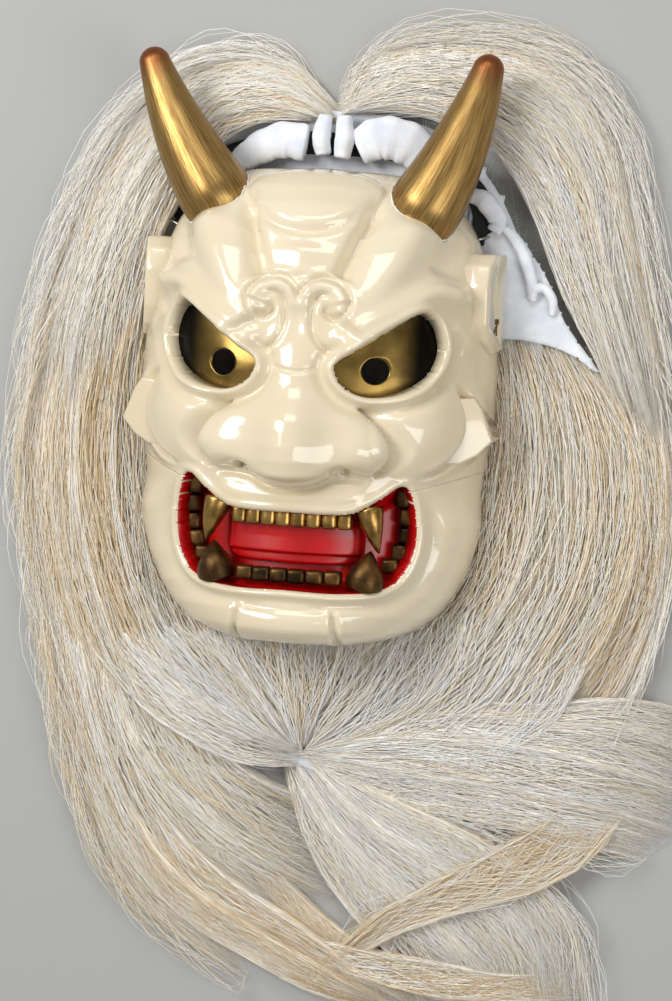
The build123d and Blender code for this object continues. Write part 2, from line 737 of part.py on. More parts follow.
def make_hair(low_y, high_y, side, high, name, window=None):
    """The hair between two heights of the plan on one side, round the cap."""
    low_y, high_y = low_y * UNIT_Y, high_y * UNIT_Y
    middle = (low_y + high_y) / 2
    gap = SOFT_GAP / 2
    with BuildPart() as mass:
        with BuildSketch():
            with BuildLine():
                Spline(on_plan(WIG_OUTLINE), periodic=True)
            make_face()
            with Locations((side * (FAR + gap), middle)):
                Rectangle(2 * FAR, high_y - low_y - SOFT_GAP, mode=Mode.INTERSECT)
        extrude(amount=high)
        add(cap_block(0, high, grow=SOFT_GAP), mode=Mode.SUBTRACT)
        add(slab(on_plan(BIB), 0, high, grow=SOFT_GAP), mode=Mode.SUBTRACT)
        if window is not None:
            add(window, mode=Mode.SUBTRACT)
    return biggest(mass.part, name)


if __name__ == "__main__":
    os.makedirs("parts", exist_ok=True)

    face_shell = make_face_shell()
    jaw_shell = make_jaw_shell()
    jaw_dowels = Compound(children=[dowel(side).solid() for side in (-1, 1)])
    jaw_dowels.label = "jaw_dowels"
    window = slab(on_plan(SIDE_WINDOW), CAP_Z + CLOTH, ABOVE)

    pieces = [face_shell, jaw_shell, jaw_dowels]
    pieces.append(make_mouth_lining())
    pieces.append(make_tongue())
    pieces.append(make_tooth_row(UPPER_TEETH, UPPER_ROW_Y, "upper_teeth"))
    pieces.append(make_tooth_row(LOWER_TEETH, LOWER_ROW_Y, "lower_teeth"))
    for side, word in ((1, "left"), (-1, "right")):
        pieces.append(make_horn(side, f"{word}_horn"))
        pieces.append(make_eye_plate(side, f"{word}_eye_plate"))
        upper = (side * UPPER_FANG_X, UPPER_FANG_Y * UNIT_Y)
        lower = (side * LOWER_FANG_X, LOWER_FANG_Y * UNIT_Y)
        pieces.append(make_fang(*upper, -1, f"upper_{word}_fang"))
        pieces.append(make_fang(*lower, 1, f"lower_{word}_fang"))
        pieces.append(make_molars(side, f"{word}_molars"))
        pieces.append(make_ring(side, f"{word}_ring"))
        temple = [(side * x, y) for x, y in TEMPLE_LOOP]
        pieces.append(soft(temple, FOLD_LOW, FOLD_HIGH, f"{word}_loop", STRAP_TUNNEL))
    pieces.append(make_strap())
    pieces.append(make_cap_back())
    pieces.append(soft(LEFT_FOLD, FOLD_LOW, CROWN_HAIR, "cap_fold_left", STRAP_TUNNEL))
    pieces.append(soft(RIGHT_FOLD, FOLD_LOW, CROWN_HAIR, "cap_fold_right", STRAP_TUNNEL))
    pieces.append(soft(CENTRE_LOOP, FOLD_LOW, CROWN_HAIR, "centre_loop", STRAP_TUNNEL))
    pieces.append(soft(SIDE_PANEL, FOLD_LOW, FOLD_LOW + CLOTH, "side_panel"))
    pieces.append(soft(SIDE_STRIP, FOLD_LOW, FOLD_HIGH, "side_strip"))
    pieces.append(make_side_loop())
    pieces.append(soft(BIB, BIB_Z, BIB_HAIR_Z, "bib_cloth"))

    back_hair = cap_block(0, BACK_HAIR)
    pieces.append(biggest(back_hair, "back_hair"))
    pieces.append(soft(BIB, BIB_HAIR_Z, BIB_HAIR_Z + BIB_HAIR, "bib_hair"))
    pieces.append(make_hair(CROWN_LOW_Y, FAR, 1, CROWN_HAIR, "crown_hair_left", window))
    pieces.append(make_hair(CROWN_LOW_Y, FAR, -1, CROWN_HAIR, "crown_hair_right"))
    pieces.append(make_hair(SIDE_LOW_Y, CROWN_LOW_Y, 1, SIDE_HAIR, "side_hair_left", window))
    pieces.append(make_hair(SIDE_LOW_Y, CROWN_LOW_Y, -1, SIDE_HAIR, "side_hair_right"))
    pieces.append(make_hair(BIB_LOW_Y, SIDE_LOW_Y, 1, LOOSE_HAIR, "outer_lock_left"))
    pieces.append(make_hair(BIB_LOW_Y, SIDE_LOW_Y, -1, LOOSE_HAIR, "outer_lock_right"))
    pieces.append(make_hair(-FAR, BIB_LOW_Y, 1, LOOSE_HAIR, "lower_lock_left"))
    pieces.append(make_hair(-FAR, BIB_LOW_Y, -1, LOOSE_HAIR, "lower_lock_right"))

    for piece in pieces:
        export_step(piece, f"parts/{piece.label}.step")
        size = piece.bounding_box()
        print(f"{piece.label:20s} {piece.volume:10.0f} {len(piece.solids())} {piece.is_valid}",
              [round(v, 1) for v in (*size.min, *size.max)])
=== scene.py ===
# %% [markdown]
# # A horned demon mask with its white wig, lying on its back
#
# The mask is carved from wood, coated with gesso and finished in gloss ivory lacquer. Its horns and
# teeth are gilt, its eyes are brass, and a wig of long white hair hangs from a cotton cap.
# The CAD model gives the places and sizes. This script puts the sculpted surfaces, the cloth and the
# hair where the CAD solids are. Lengths are written in millimetres and turned to metres at the end.

import math

import bmesh
import bpy
import numpy as np
from mathutils import Matrix, Vector


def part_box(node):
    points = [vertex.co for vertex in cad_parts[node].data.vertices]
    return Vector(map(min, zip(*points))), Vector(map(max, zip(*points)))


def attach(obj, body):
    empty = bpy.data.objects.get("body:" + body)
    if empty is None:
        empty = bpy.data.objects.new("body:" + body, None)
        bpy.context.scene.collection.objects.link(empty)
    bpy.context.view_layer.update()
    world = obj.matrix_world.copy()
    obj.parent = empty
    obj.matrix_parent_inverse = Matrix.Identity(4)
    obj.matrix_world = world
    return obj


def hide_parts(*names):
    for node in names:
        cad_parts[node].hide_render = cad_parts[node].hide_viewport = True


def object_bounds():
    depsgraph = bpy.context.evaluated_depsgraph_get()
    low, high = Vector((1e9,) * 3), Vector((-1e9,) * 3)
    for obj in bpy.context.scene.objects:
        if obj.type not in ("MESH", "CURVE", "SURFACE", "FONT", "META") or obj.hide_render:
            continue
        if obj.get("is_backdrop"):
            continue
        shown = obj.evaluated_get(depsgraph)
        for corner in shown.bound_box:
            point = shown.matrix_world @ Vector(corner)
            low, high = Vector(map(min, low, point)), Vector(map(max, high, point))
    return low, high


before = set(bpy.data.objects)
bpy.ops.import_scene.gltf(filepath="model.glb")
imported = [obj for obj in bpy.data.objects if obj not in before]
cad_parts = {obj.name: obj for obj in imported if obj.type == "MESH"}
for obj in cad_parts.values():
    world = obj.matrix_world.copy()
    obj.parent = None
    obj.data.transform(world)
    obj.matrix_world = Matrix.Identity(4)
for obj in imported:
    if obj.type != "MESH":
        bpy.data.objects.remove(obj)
cad_low, cad_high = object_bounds()
MM = 0.001
BODY = "mask_and_wig"
print("CAD box, mm:", [round(v / MM) for v in (*cad_low, *cad_high)])


# %% [markdown]
# ## Levels and the face's proportions
#
# The wig lies on the floor at z = 0. The mask's back rim rests on it, so the rim's height is read
# from the CAD shell. Every other height on the face is counted from that rim.

# %% Levels read from the frame
def span(node):
    """Lowest and highest corner of a CAD node, in millimetres."""
    low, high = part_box(node)
    return np.array(low) / MM, np.array(high) / MM


RIM_Z = span("face_shell")[0][2]
CAP_TOP = span("cap_back")[0][2] + 1.2
TOP_Y = span("face_shell")[1][1]
CHIN_Y = span("jaw_shell")[0][1]
print("rim at", round(RIM_Z, 1), "mm; face from", round(CHIN_Y, 1), "to", round(TOP_Y, 1))

# %% Half-width and height of the head along its length
# Each line: place along the face, half-width at the back rim, height above the rim.
SECTIONS = np.array(
    [
        (-98.8, 0.0, 0.0), (-98.1, 18.0, 16.0), (-96.5, 28.5, 29.0), (-94.2, 36.5, 39.5), (-91.0, 44.0, 48.0),
        (-87.0, 51.0, 54.0), (-81.0, 57.0, 57.0), (-73.0, 62.5, 57.5), (-62.0, 67.5, 56.5), (-50.0, 71.0, 55.5),
        (-35.0, 74.0, 56.0), (-20.0, 75.5, 58.0), (0.0, 77.5, 60.0), (20.0, 78.5, 60.5), (37.0, 77.5, 60.0),
        (55.0, 75.0, 58.5), (70.0, 71.0, 56.0), (80.0, 67.0, 52.5), (89.5, 61.0, 46.0), (96.5, 54.0, 38.5),
        (102.0, 45.5, 30.0), (106.0, 33.0, 18.0), (107.6, 0.0, 0.0),
    ]
)
FULLNESS = 0.58  # 0.5 makes an elliptical section, more makes it steeper at the sides


def section(y):
    """Half-width and height of the head at y."""
    return np.interp(y, SECTIONS[:, 0], SECTIONS[:, 1]), np.interp(y, SECTIONS[:, 0], SECTIONS[:, 2])


def smoothstep(x, low, high):
    t = np.clip((x - low) / (high - low), 0, 1)
    return t * t * (3 - 2 * t)


def base_height(x, y):
    """Height of the bare head above the rim, without its carved features."""
    width, height = section(y)
    share = np.clip(1 - (x / np.maximum(width, 1e-6)) ** 2, 0, 1)
    return height * share**FULLNESS


# %% [markdown]
# ## Carving
#
# A carver works ridges and grooves along lines, and swells round the cheeks and nose. The same is
# done here: a line adds a ridge or a groove of some width beside it, and a swelling is a raised
# ellipse. All are functions of the place on the face, so the mesh can be as fine as it needs to be.

# %% Tools that carve
def smooth_line(points, steps=8, closed=False):
    """Points along a smooth curve through the given ones."""
    pts = np.array(points, float)
    if closed:
        pts = np.vstack([pts[-1], pts, pts[0], pts[1]])
    else:
        pts = np.vstack([2 * pts[0] - pts[1], pts, 2 * pts[-1] - pts[-2]])
    out = []
    for a, b, c, d in zip(pts, pts[1:], pts[2:], pts[3:]):
        for t in np.arange(steps) / steps:
            out.append(
                0.5 * (2 * b + (c - a) * t + (2 * a - 5 * b + 4 * c - d) * t**2
                       + (3 * b - a - 3 * c + d) * t**3)
            )
    if not closed:
        out.append(pts[-2])
    return np.array(out)


def line_distance(x, y, line):
    """Distance of each place from a line, and how far along the line its nearest point is."""
    best = np.full(x.shape, 1e9)
    along = np.zeros(x.shape)
    count = len(line) - 1
    for k, (a, b) in enumerate(zip(line, line[1:])):
        run = b - a
        t = ((x - a[0]) * run[0] + (y - a[1]) * run[1]) / max(run @ run, 1e-9)
        t = np.clip(t, 0, 1)
        d = np.hypot(x - a[0] - t * run[0], y - a[1] - t * run[1])
        closer = d < best
        best = np.where(closer, d, best)
        along = np.where(closer, (k + t) / count, along)
    return best, along


def carve(x, y, points, width, height, taper=(0.0, 0.0)):
    """A ridge, or with a negative height a groove, that fades over a share of its two ends."""
    line = smooth_line(points)
    pad = 3 * width
    near = (
        (x > line[:, 0].min() - pad)
        & (x < line[:, 0].max() + pad)
        & (y > line[:, 1].min() - pad)
        & (y < line[:, 1].max() + pad)
    )
    out = np.zeros(x.shape)
    if not near.any():
        return out
    d, along = line_distance(x[near], y[near], line)
    fade = np.ones(d.shape)
    if taper[0]:
        fade = fade * smoothstep(along, 0, taper[0])
    if taper[1]:
        fade = fade * smoothstep(1 - along, 0, taper[1])
    out[near] = height * np.exp(-((d / width) ** 2)) * fade
    return out


def swell(x, y, centre, radii, height, power=0.6, below=None, turn=0.0):
    """A raised ellipse. below gives it another radius on its lower side."""
    dx, dy = x - centre[0], y - centre[1]
    c, s = math.cos(turn), math.sin(turn)
    dx, dy = c * dx + s * dy, -s * dx + c * dy
    reach = np.where(dy < 0, below or radii[1], radii[1])
    q = (dx / radii[0]) ** 2 + (dy / reach) ** 2
    return height * np.clip(1 - q, 0, 1) ** power


def inside_distance(x, y, outline):
    """Distance from a closed outline, negative inside it."""
    ring = np.vstack([outline, outline[:1]])
    d, _ = line_distance(x, y, ring)
    inside = np.zeros(x.shape, bool)
    for a, b in zip(ring, ring[1:]):
        crosses = (a[1] > y) != (b[1] > y)
        at = a[0] + (y - a[1]) * (b[0] - a[0]) / np.where(abs(b[1] - a[1]) < 1e-9, 1e-9, b[1] - a[1])
        inside ^= crosses & (x < at)
    return np.where(inside, -d, d)


# %% [markdown]
# ## Eye and mouth openings
#
# The eyes slant fiercely: the upper lid runs straight down to the nose and the lower lid is round.
# The upper lip is a low arch that rises to the two corners of the mouth.

# %% Outlines of the openings
EYE = smooth_line(
    [(16.5, 24.0), (25.0, 31.0), (37.0, 40.0), (47.5, 47.0), (53.0, 46.0), (57.0, 40.5), (58.5, 31.0),
     (54.0, 20.5), (43.0, 13.5), (30.5, 11.5), (20.5, 15.5)],
    closed=True,
)
MOUTH_RIGHT = [(0.0, -38.6), (15.0, -38.8), (27.0, -37.5), (38.0, -31.0), (44.5, -26.0), (48.5, -27.0),
               (51.5, -38.0), (51.5, -52.0), (47.0, -64.0), (38.0, -70.3), (22.0, -72.0), (0.0, -71.5)]
MOUTH = smooth_line(MOUTH_RIGHT + [(-x, y) for x, y in reversed(MOUTH_RIGHT[1:-1])], closed=True)
SEAM = [(0.0, -55.0), (40.0, -50.0), (48.0, -28.0), (58.0, -25.5), (68.0, -22.0), (100.0, -14.0)]


# Half of the nose seen from the front, and the edge of the hollow beside its wing.
NOSE = [(0.0, 38.0), (7.0, 33.0), (11.0, 25.0), (14.5, 16.0), (20.0, 10.5), (27.5, 6.5), (35.5, -1.5), (39.3, -10.5),
        (37.6, -17.5), (32.0, -21.3), (25.0, -20.6), (17.5, -22.6), (9.5, -26.6), (0.0, -28.2)]
WING_EDGE = smooth_line([(27.0, 6.9), (35.5, -1.5), (39.3, -10.5), (37.6, -17.5), (34.5, -21.5)])
HOLLOW_EDGE = smooth_line([(27.0, 6.9), (36.0, 6.2), (44.0, 0.5), (48.2, -7.5), (46.6, -15.0), (41.0, -20.5),
                           (34.5, -22.5)])
NOSE_RIDGE = np.array([(-29, 0.0), (-26, 3.5), (-21, 7.5), (-15, 9.2), (-9, 9.3), (0, 7.6), (10, 5.2), (20, 3.2),
                       (30, 1.6), (40, 0.0)])


def rounded(depth, radius):
    """How far a rounded edge has risen at a depth inside it, from 0 to 1."""
    return np.sqrt(1 - (1 - np.clip(depth / radius, 0, 1)) ** 2)


def groove(x, y, points, width, depth, lip=0.35, taper=(0.15, 0.15)):
    """A crisp groove with slightly raised lips, as a gouge leaves."""
    cut_line = carve(x, y, points, width, -depth, taper)
    return cut_line + carve(x, y, points, 2.6 * width, lip * depth, taper)


def nose_height(u, y):
    """The nose: one broad form with a ridge, a round tip and two wings."""
    outline = smooth_line(NOSE, 4)
    outline = np.vstack([outline, (outline * (-1, 1))[::-1]])
    depth = np.clip(-inside_distance(u, y, outline), 0, None)
    ridge = np.interp(y, NOSE_RIDGE[:, 0], NOSE_RIDGE[:, 1])
    width = np.interp(y, [-28, -8, 15, 35], [14.0, 13.5, 10.0, 8.0])
    body = rounded(depth, 7.5) * 5.6 * smoothstep(-y, -17, 3)
    ridge = ridge * np.exp(-((u / width) ** 2)) * np.where(y < -5, rounded(depth, 6.0), 1.0)
    lobe = 3.4 * np.exp(-(((u - 27.5) / 9.0) ** 2) - ((y + 10.5) / 8.5) ** 2) * rounded(depth, 5.0)
    return body + ridge + lobe


def hollow_depth(u, y):
    """The sickle-shaped hollow between a wing of the nose and the cheek."""
    outline = np.vstack([HOLLOW_EDGE, WING_EDGE[::-1]])
    inside = inside_distance(u, y, outline) < 0
    to_edge, _ = line_distance(u, y, HOLLOW_EDGE)
    to_wing, _ = line_distance(u, y, WING_EDGE)
    return np.where(inside, -5.2 * to_edge / np.maximum(to_edge + to_wing, 0.1), 0.0)


def forehead_height(u, y):
    """The lens under the horns, the folds that run to the curls, and the muscles over the eyes."""
    out = swell(u, y, (0, 97), (29, 9), 3.2, 0.4, below=16.5)
    out += groove(u, y, [(0, 79.5), (9, 80.6), (17, 84.2), (25, 91.5)], 2.0, 2.0, 0.3, (0.0, 0.3))
    out += carve(u, y, [(46, 92), (41, 76), (34, 62), (26, 50), (18, 40)], 10.0, 6.4, (0.2, 0.1))
    out += carve(u, y, [(30, 96), (25, 82), (20, 68), (16.5, 59)], 3.6, -6.0, (0.25, 0.1))
    out += carve(u, y, [(62, 84), (57, 72), (54, 62)], 5.0, -3.0, (0.3, 0.3))
    out += carve(u, y, [(0, 76), (0, 60)], 8.0, 1.6, (0.3, 0.2))
    out += carve(u, y, [(70, 50), (62, 55), (53, 56), (43, 50), (32, 42), (22, 34.5), (15, 29)], 5.4, 6.0, (0.2, 0.15))
    return out


def curl_height(u, y):
    """Two curls between the brows: flat bands whose ends roll up like a snail."""
    out = carve(u, y, [(1, 50), (3.5, 55), (9, 56.5), (15.5, 54), (17.8, 49)], 4.0, 2.6, (0.0, 0.1))
    out += groove(u, y, [(0.2, 52.5), (3, 57.4), (9, 60.3), (16, 58.6), (20.4, 52.8), (19.4, 46.2), (15, 43.2),
                         (11.4, 45.6), (12.2, 49.8)], 1.25, 3.4, taper=(0.03, 0.12))
    out += groove(u, y, [(13.4, 52.4), (9.6, 53.4), (6.6, 50.0), (5.6, 44.0), (6.4, 38.0), (9.6, 32.6), (15.6, 28.4)],
                  1.25, 3.0, taper=(0.12, 0.08))
    out += groove(u, y, [(0, 55.0), (0, 48.5)], 1.1, 2.0, taper=(0.0, 0.5))
    return out


def relief(x, y):
    """Carved height at each place of the face, added to the bare head."""
    u = abs(x)
    eye = inside_distance(u, y, EYE)
    mouth = inside_distance(x, y, MOUTH)
    out = forehead_height(u, y) + curl_height(u, y)
    # eyes: a rolled rim, and the hollow round it
    out += 3.2 * np.exp(-(((eye - 1.5) / 2.0) ** 2))
    out += -2.4 * np.exp(-(((eye - 6.2) / 2.3) ** 2)) * smoothstep(-y, -46, -20)
    out += carve(u, y, [(61, 44), (67, 38), (71, 29)], 2.6, 1.8, (0.2, 0.4))
    # cheeks, their outer groove and the band behind it
    out += swell(u, y, (53, -3), (22, 22), 6.2, 1.1)
    out += groove(u, y, [(64, 20), (68, 12), (68.5, 0), (65, -10), (58.5, -18), (50, -23)], 1.35, 4.2, 0.3, (0.25, 0.2))
    out += carve(u, y, [(70, 22), (73, 8), (72, -6), (66, -17)], 3.2, 2.6, (0.3, 0.2))
    # nose and the hollows beside it
    out += hollow_depth(u, y) + nose_height(u, y)
    out += carve(u, y, [(16, -21.6), (20.5, -19.6), (25.5, -21.0)], 1.7, -7.0, (0.25, 0.25))
    out += carve(u, y, [(0, -30), (10, -28), (18, -24.5), (27, -23.5), (35, -23.8)], 1.5, -2.2, (0.0, 0.2))
    out += carve(u, y, [(0, 20.8), (5, 21.3), (10, 23.5)], 0.9, -1.0, (0.0, 0.3))
    # lips and jaw
    upper = (y > -42) & (y < -20)
    out += np.where(mouth > 0, 1.7 * np.exp(-(((mouth - 1.8) / 1.7) ** 2)), 0) * np.where(upper, 0.6, 1.0)
    out += carve(u, y, [(0, -33), (20, -33), (36, -28)], 4.0, 1.6, (0.0, 0.3))
    lower = smoothstep(-y, 28, 44)
    out += lower * (-1.5 * np.exp(-(((mouth - 6.0) / 2.6) ** 2)) + 4.2 * np.exp(-(((mouth - 16.5) / 8.0) ** 2)))
    out += groove(u, y, [(21.5, -78), (20.6, -84), (20.8, -91), (22.0, -98)], 1.3, 2.9, 0.3, (0.3, 0.0))
    out += carve(u, y, [(19, -79.5), (10, -80.3), (0, -80.4)], 1.6, -1.5, (0.2, 0.0))
    return out


# %% [markdown]
# ## From a grid to a carved shell
#
# A grid of points follows the head from the rim on one side to the rim on the other. Points near the
# edge of an opening are moved on to it, so that the edge is smooth, and what lies inside is left out.
# A second skin lies a wall's thickness behind the first, and the two are joined round every edge.

# %% Grid helpers
WALL = 4.6


def mesh_object(name, verts_mm, faces, slots, smooth=True, face_slots=None):
    """A new object from points in millimetres."""
    mesh = bpy.data.meshes.new(name)
    mesh.from_pydata([tuple(v) for v in np.asarray(verts_mm) * MM], [], [tuple(int(i) for i in f) for f in faces])
    for material in slots:
        mesh.materials.append(material)
    if face_slots is not None:
        mesh.polygons.foreach_set("material_index", np.asarray(face_slots, np.int32))
    mesh.polygons.foreach_set("use_smooth", np.full(len(mesh.polygons), smooth))
    mesh.update()
    obj = bpy.data.objects.new(name, mesh)
    bpy.context.scene.collection.objects.link(obj)
    return obj


def shell(x, y, top, bottom, keep, edge_slot):
    """Points, faces and slots of a closed shell over a grid, of the cells marked keep."""
    rows, cols = x.shape
    index = np.arange(rows * cols).reshape(rows, cols)
    a, b, c, d = index[:-1, :-1], index[:-1, 1:], index[1:, 1:], index[1:, :-1]
    quads = np.stack([a, b, c, d], -1)[keep]
    front = quads
    back = quads[:, ::-1] + rows * cols
    edges = {}
    for quad in quads.tolist():
        for p, q in zip(quad, quad[1:] + quad[:1]):
            edges[(p, q)] = True
    sides, side_slots = [], []
    for p, q in edges:
        if (q, p) not in edges:
            sides.append((q, p, p + rows * cols, q + rows * cols))
            side_slots.append(edge_slot(x.flat[p], y.flat[p]))
    points = np.vstack([top.reshape(-1, 3), bottom.reshape(-1, 3)])
    faces = front.tolist() + back.tolist() + sides
    slots = [0] * len(front) + [2] * len(back) + side_slots
    return points, faces, slots


def tidy_mesh(obj):
    """Merges doubled points, drops loose ones and turns the faces outwards."""
    work = bmesh.new()
    work.from_mesh(obj.data)
    bmesh.ops.remove_doubles(work, verts=work.verts, dist=1e-5)
    loose = [v for v in work.verts if not v.link_faces]
    bmesh.ops.delete(work, geom=loose, context="VERTS")
    bmesh.ops.recalc_face_normals(work, faces=work.faces)
    work.to_mesh(obj.data)
    work.free()
    obj.data.update()
    return obj


def snap(x, y, outline, reach, mirror=False):
    """Moves grid points that lie close to an outline on to it."""
    ring = np.vstack([outline, outline[:1]])
    for side in (1, -1) if mirror else (1,):
        px, py = x * side, y
        best = np.full(x.shape, 1e9)
        sx, sy = px.copy(), py.copy()
        for a, b in zip(ring, ring[1:]):
            run = b - a
            t = np.clip(((px - a[0]) * run[0] + (py - a[1]) * run[1]) / max(run @ run, 1e-9), 0, 1)
            qx, qy = a[0] + t * run[0], a[1] + t * run[1]
            d = np.hypot(px - qx, py - qy)
            closer = d < best
            best = np.where(closer, d, best)
            sx, sy = np.where(closer, qx, sx), np.where(closer, qy, sy)
        near = best < reach
        x = np.where(near, sx * side, x)
        y = np.where(near, sy, y)
    return x, y


print("carving tools ready")


# %% [markdown]
# ## Finishes
#
# Each finish is a small node tree. One function turns a hex colour into linear light, and one adds a
# node with its settings and links.

# %% Material helpers
def linear(hex_colour):
    """An sRGB hex colour as linear light."""
    parts = [int(hex_colour[k:k + 2], 16) / 255 for k in (0, 2, 4)]
    return tuple(c / 12.92 if c <= 0.04045 else ((c + 0.055) / 1.055) ** 2.4 for c in parts) + (1.0,)


def add_node(tree, kind, settings=None, links=None):
    """A new node, its values set by socket or property name, its inputs linked from other sockets."""
    node = tree.nodes.new(kind)
    for key, value in (settings or {}).items():
        if key in node.inputs.keys():
            node.inputs[key].default_value = value
        else:
            setattr(node, key, value)
    for key, socket in (links or {}).items():
        tree.links.new(socket, node.inputs[key])
    return node


def new_finish(name, settings):
    """A material with one Principled shader."""
    material = bpy.data.materials.new(name)
    material.use_nodes = True
    tree = material.node_tree
    tree.nodes.clear()
    shader = add_node(tree, "ShaderNodeBsdfPrincipled", settings)
    add_node(tree, "ShaderNodeOutputMaterial", links={"Surface": shader.outputs["BSDF"]})
    return material, tree, shader


def two_tones(tree, shader, first, second, scale, low, high, stretch=(1, 1, 1), coords="Object", detail=4):
    """Drifts the colour between two tones over a noise, and returns the noise."""
    place = add_node(tree, "ShaderNodeTexCoord")
    mapping = add_node(tree, "ShaderNodeMapping", {"Scale": stretch}, {"Vector": place.outputs[coords]})
    noise = add_node(tree, "ShaderNodeTexNoise", {"Scale": scale, "Detail": detail},
                     {"Vector": mapping.outputs["Vector"]})
    ramp = add_node(tree, "ShaderNodeValToRGB", links={"Fac": noise.outputs["Fac"]})
    ramp.color_ramp.elements[0].position = low
    ramp.color_ramp.elements[1].position = high
    ramp.color_ramp.elements[0].color = linear(first)
    ramp.color_ramp.elements[1].color = linear(second)
    tree.links.new(ramp.outputs["Color"], shader.inputs["Base Color"])
    return noise


def bumps(tree, shader, height, distance, strength):
    """A bump, its depth in metres."""
    bump = add_node(tree, "ShaderNodeBump", {"Distance": distance, "Strength": strength}, {"Height": height})
    tree.links.new(bump.outputs["Normal"], shader.inputs["Normal"])


# %% Lacquers
# Ivory lacquer over gesso: glassy, with slow waves left by hand polishing.
lacquer, tree, shader = new_finish(
    "ivory_gloss_lacquer", {"Roughness": 0.16, "IOR": 1.5, "Coat Weight": 0.6, "Coat Roughness": 0.04})
noise = two_tones(tree, shader, "d8c9a9", "e2d5b9", 9.0, 0.35, 0.65)
bumps(tree, shader, noise.outputs["Fac"], 0.0008, 0.25)

# Vermilion lacquer in the mouth: brushed on, less glossy.
vermilion, tree, shader = new_finish("vermilion_lacquer", {"Roughness": 0.28, "IOR": 1.5})
noise = two_tones(tree, shader, "a50307", "c00a0b", 60.0, 0.3, 0.7)
bumps(tree, shader, noise.outputs["Fac"], 0.0005, 0.4)

# Bare wood inside the shell: dull and brown, darkened by handling.
inside_wood, tree, shader = new_finish("bare_cypress_wood", {"Roughness": 0.75, "IOR": 1.5})
noise = two_tones(tree, shader, "5a4028", "8a6844", 40.0, 0.3, 0.7, stretch=(4, 0.4, 4))
bumps(tree, shader, noise.outputs["Fac"], 0.0004, 0.5)

# %% Gold, brass and wire
# Gold paint brushed lengthwise over red lacquer: fine streaks, and red at the tip, where it is thin.
horn_gold, tree, shader = new_finish("brushed_gold_on_red", {"Metallic": 0.85, "Roughness": 0.34})
noise = two_tones(tree, shader, "7c5a2c", "a98a52", 5.0, 0.3, 0.62, stretch=(6.0, 0.3, 1.0),
                  coords="UV", detail=8)
gilt = shader.inputs["Base Color"].links[0].from_socket
place = add_node(tree, "ShaderNodeSeparateXYZ", links={
    "Vector": add_node(tree, "ShaderNodeTexCoord").outputs["UV"]})
worn = add_node(tree, "ShaderNodeMapRange", {"From Min": 3.2, "From Max": 3.9, "To Max": 0.75},
                {"Value": place.outputs["Y"]})
tip = add_node(tree, "ShaderNodeMix", {"data_type": "RGBA"}, {0: worn.outputs["Result"]})
tree.links.new(gilt, tip.inputs[6])
tip.inputs[7].default_value = linear("84301a")
tree.links.new(tip.outputs[2], shader.inputs["Base Color"])
bumps(tree, shader, noise.outputs["Fac"], 0.0004, 0.35)

# Gold leaf on the teeth: bright and uneven, with darker patches.
tooth_gold, tree, shader = new_finish("rubbed_gold_leaf", {"Metallic": 1.0, "Roughness": 0.3})
noise = two_tones(tree, shader, "6b4d22", "b79455", 140.0, 0.3, 0.62)
bumps(tree, shader, noise.outputs["Fac"], 0.0006, 0.5)

# Tarnished gilding at the back of the mouth.
dark_gold, tree, shader = new_finish("tarnished_gilding", {"Metallic": 0.9, "Roughness": 0.4})
noise = two_tones(tree, shader, "2e1f10", "6d4f2a", 110.0, 0.35, 0.65)
bumps(tree, shader, noise.outputs["Fac"], 0.0006, 0.6)

# Beaten brass sheet behind the eyes. Its colour is mixed to nearly black towards the temple: a painted dark reflection.
eye_brass, tree, shader = new_finish("polished_brass_sheet", {"Metallic": 0.9, "Roughness": 0.3})
noise = two_tones(tree, shader, "6a542a", "9c8044", 90.0, 0.3, 0.7)
brass_colour = shader.inputs["Base Color"].links[0].from_socket
# Painted dark reflection: from 36 to 50 mm off the middle, the brass colour turns nearly black.
place = add_node(tree, "ShaderNodeSeparateXYZ", links={
    "Vector": add_node(tree, "ShaderNodeTexCoord").outputs["Object"]})
away = add_node(tree, "ShaderNodeMath", {"operation": "ABSOLUTE"}, {0: place.outputs["X"]})
share = add_node(tree, "ShaderNodeMapRange", {"From Min": 0.036, "From Max": 0.050, "interpolation_type": "SMOOTHSTEP"},
                 {"Value": away.outputs["Value"]})
painted_dark_reflection = add_node(tree, "ShaderNodeMix", {"data_type": "RGBA"}, {0: share.outputs["Result"]})
tree.links.new(brass_colour, painted_dark_reflection.inputs[6])
painted_dark_reflection.inputs[7].default_value = linear("120d06")
tree.links.new(painted_dark_reflection.outputs[2], shader.inputs["Base Color"])
bumps(tree, shader, noise.outputs["Fac"], 0.0004, 0.3)

# Bright steel wire of the rings.
wire, tree, shader = new_finish("drawn_steel_wire", {"Metallic": 1.0, "Roughness": 0.3})
two_tones(tree, shader, "8c8c88", "b4b4b0", 400.0, 0.3, 0.7)

# %% Cotton and elastic
# Washed white cotton: matt, slightly blue, with a fine plain weave of 0.5 mm threads.
cotton, tree, shader = new_finish("washed_cotton", {"Roughness": 0.9, "Sheen Weight": 0.25, "IOR": 1.45})
noise = two_tones(tree, shader, "d9dee8", "f0f2f6", 120.0, 0.3, 0.7)
fine = add_node(tree, "ShaderNodeTexNoise", {"Scale": 2000.0},
                {"Vector": add_node(tree, "ShaderNodeTexCoord").outputs["Object"]})
bumps(tree, shader, fine.outputs["Fac"], 0.0003, 0.5)

# Woven black elastic.
elastic, tree, shader = new_finish("black_woven_elastic", {"Roughness": 0.8, "Sheen Weight": 0.2})
noise = two_tones(tree, shader, "0b0b0c", "1c1c1e", 700.0, 0.3, 0.7)
bumps(tree, shader, noise.outputs["Fac"], 0.0003, 0.6)

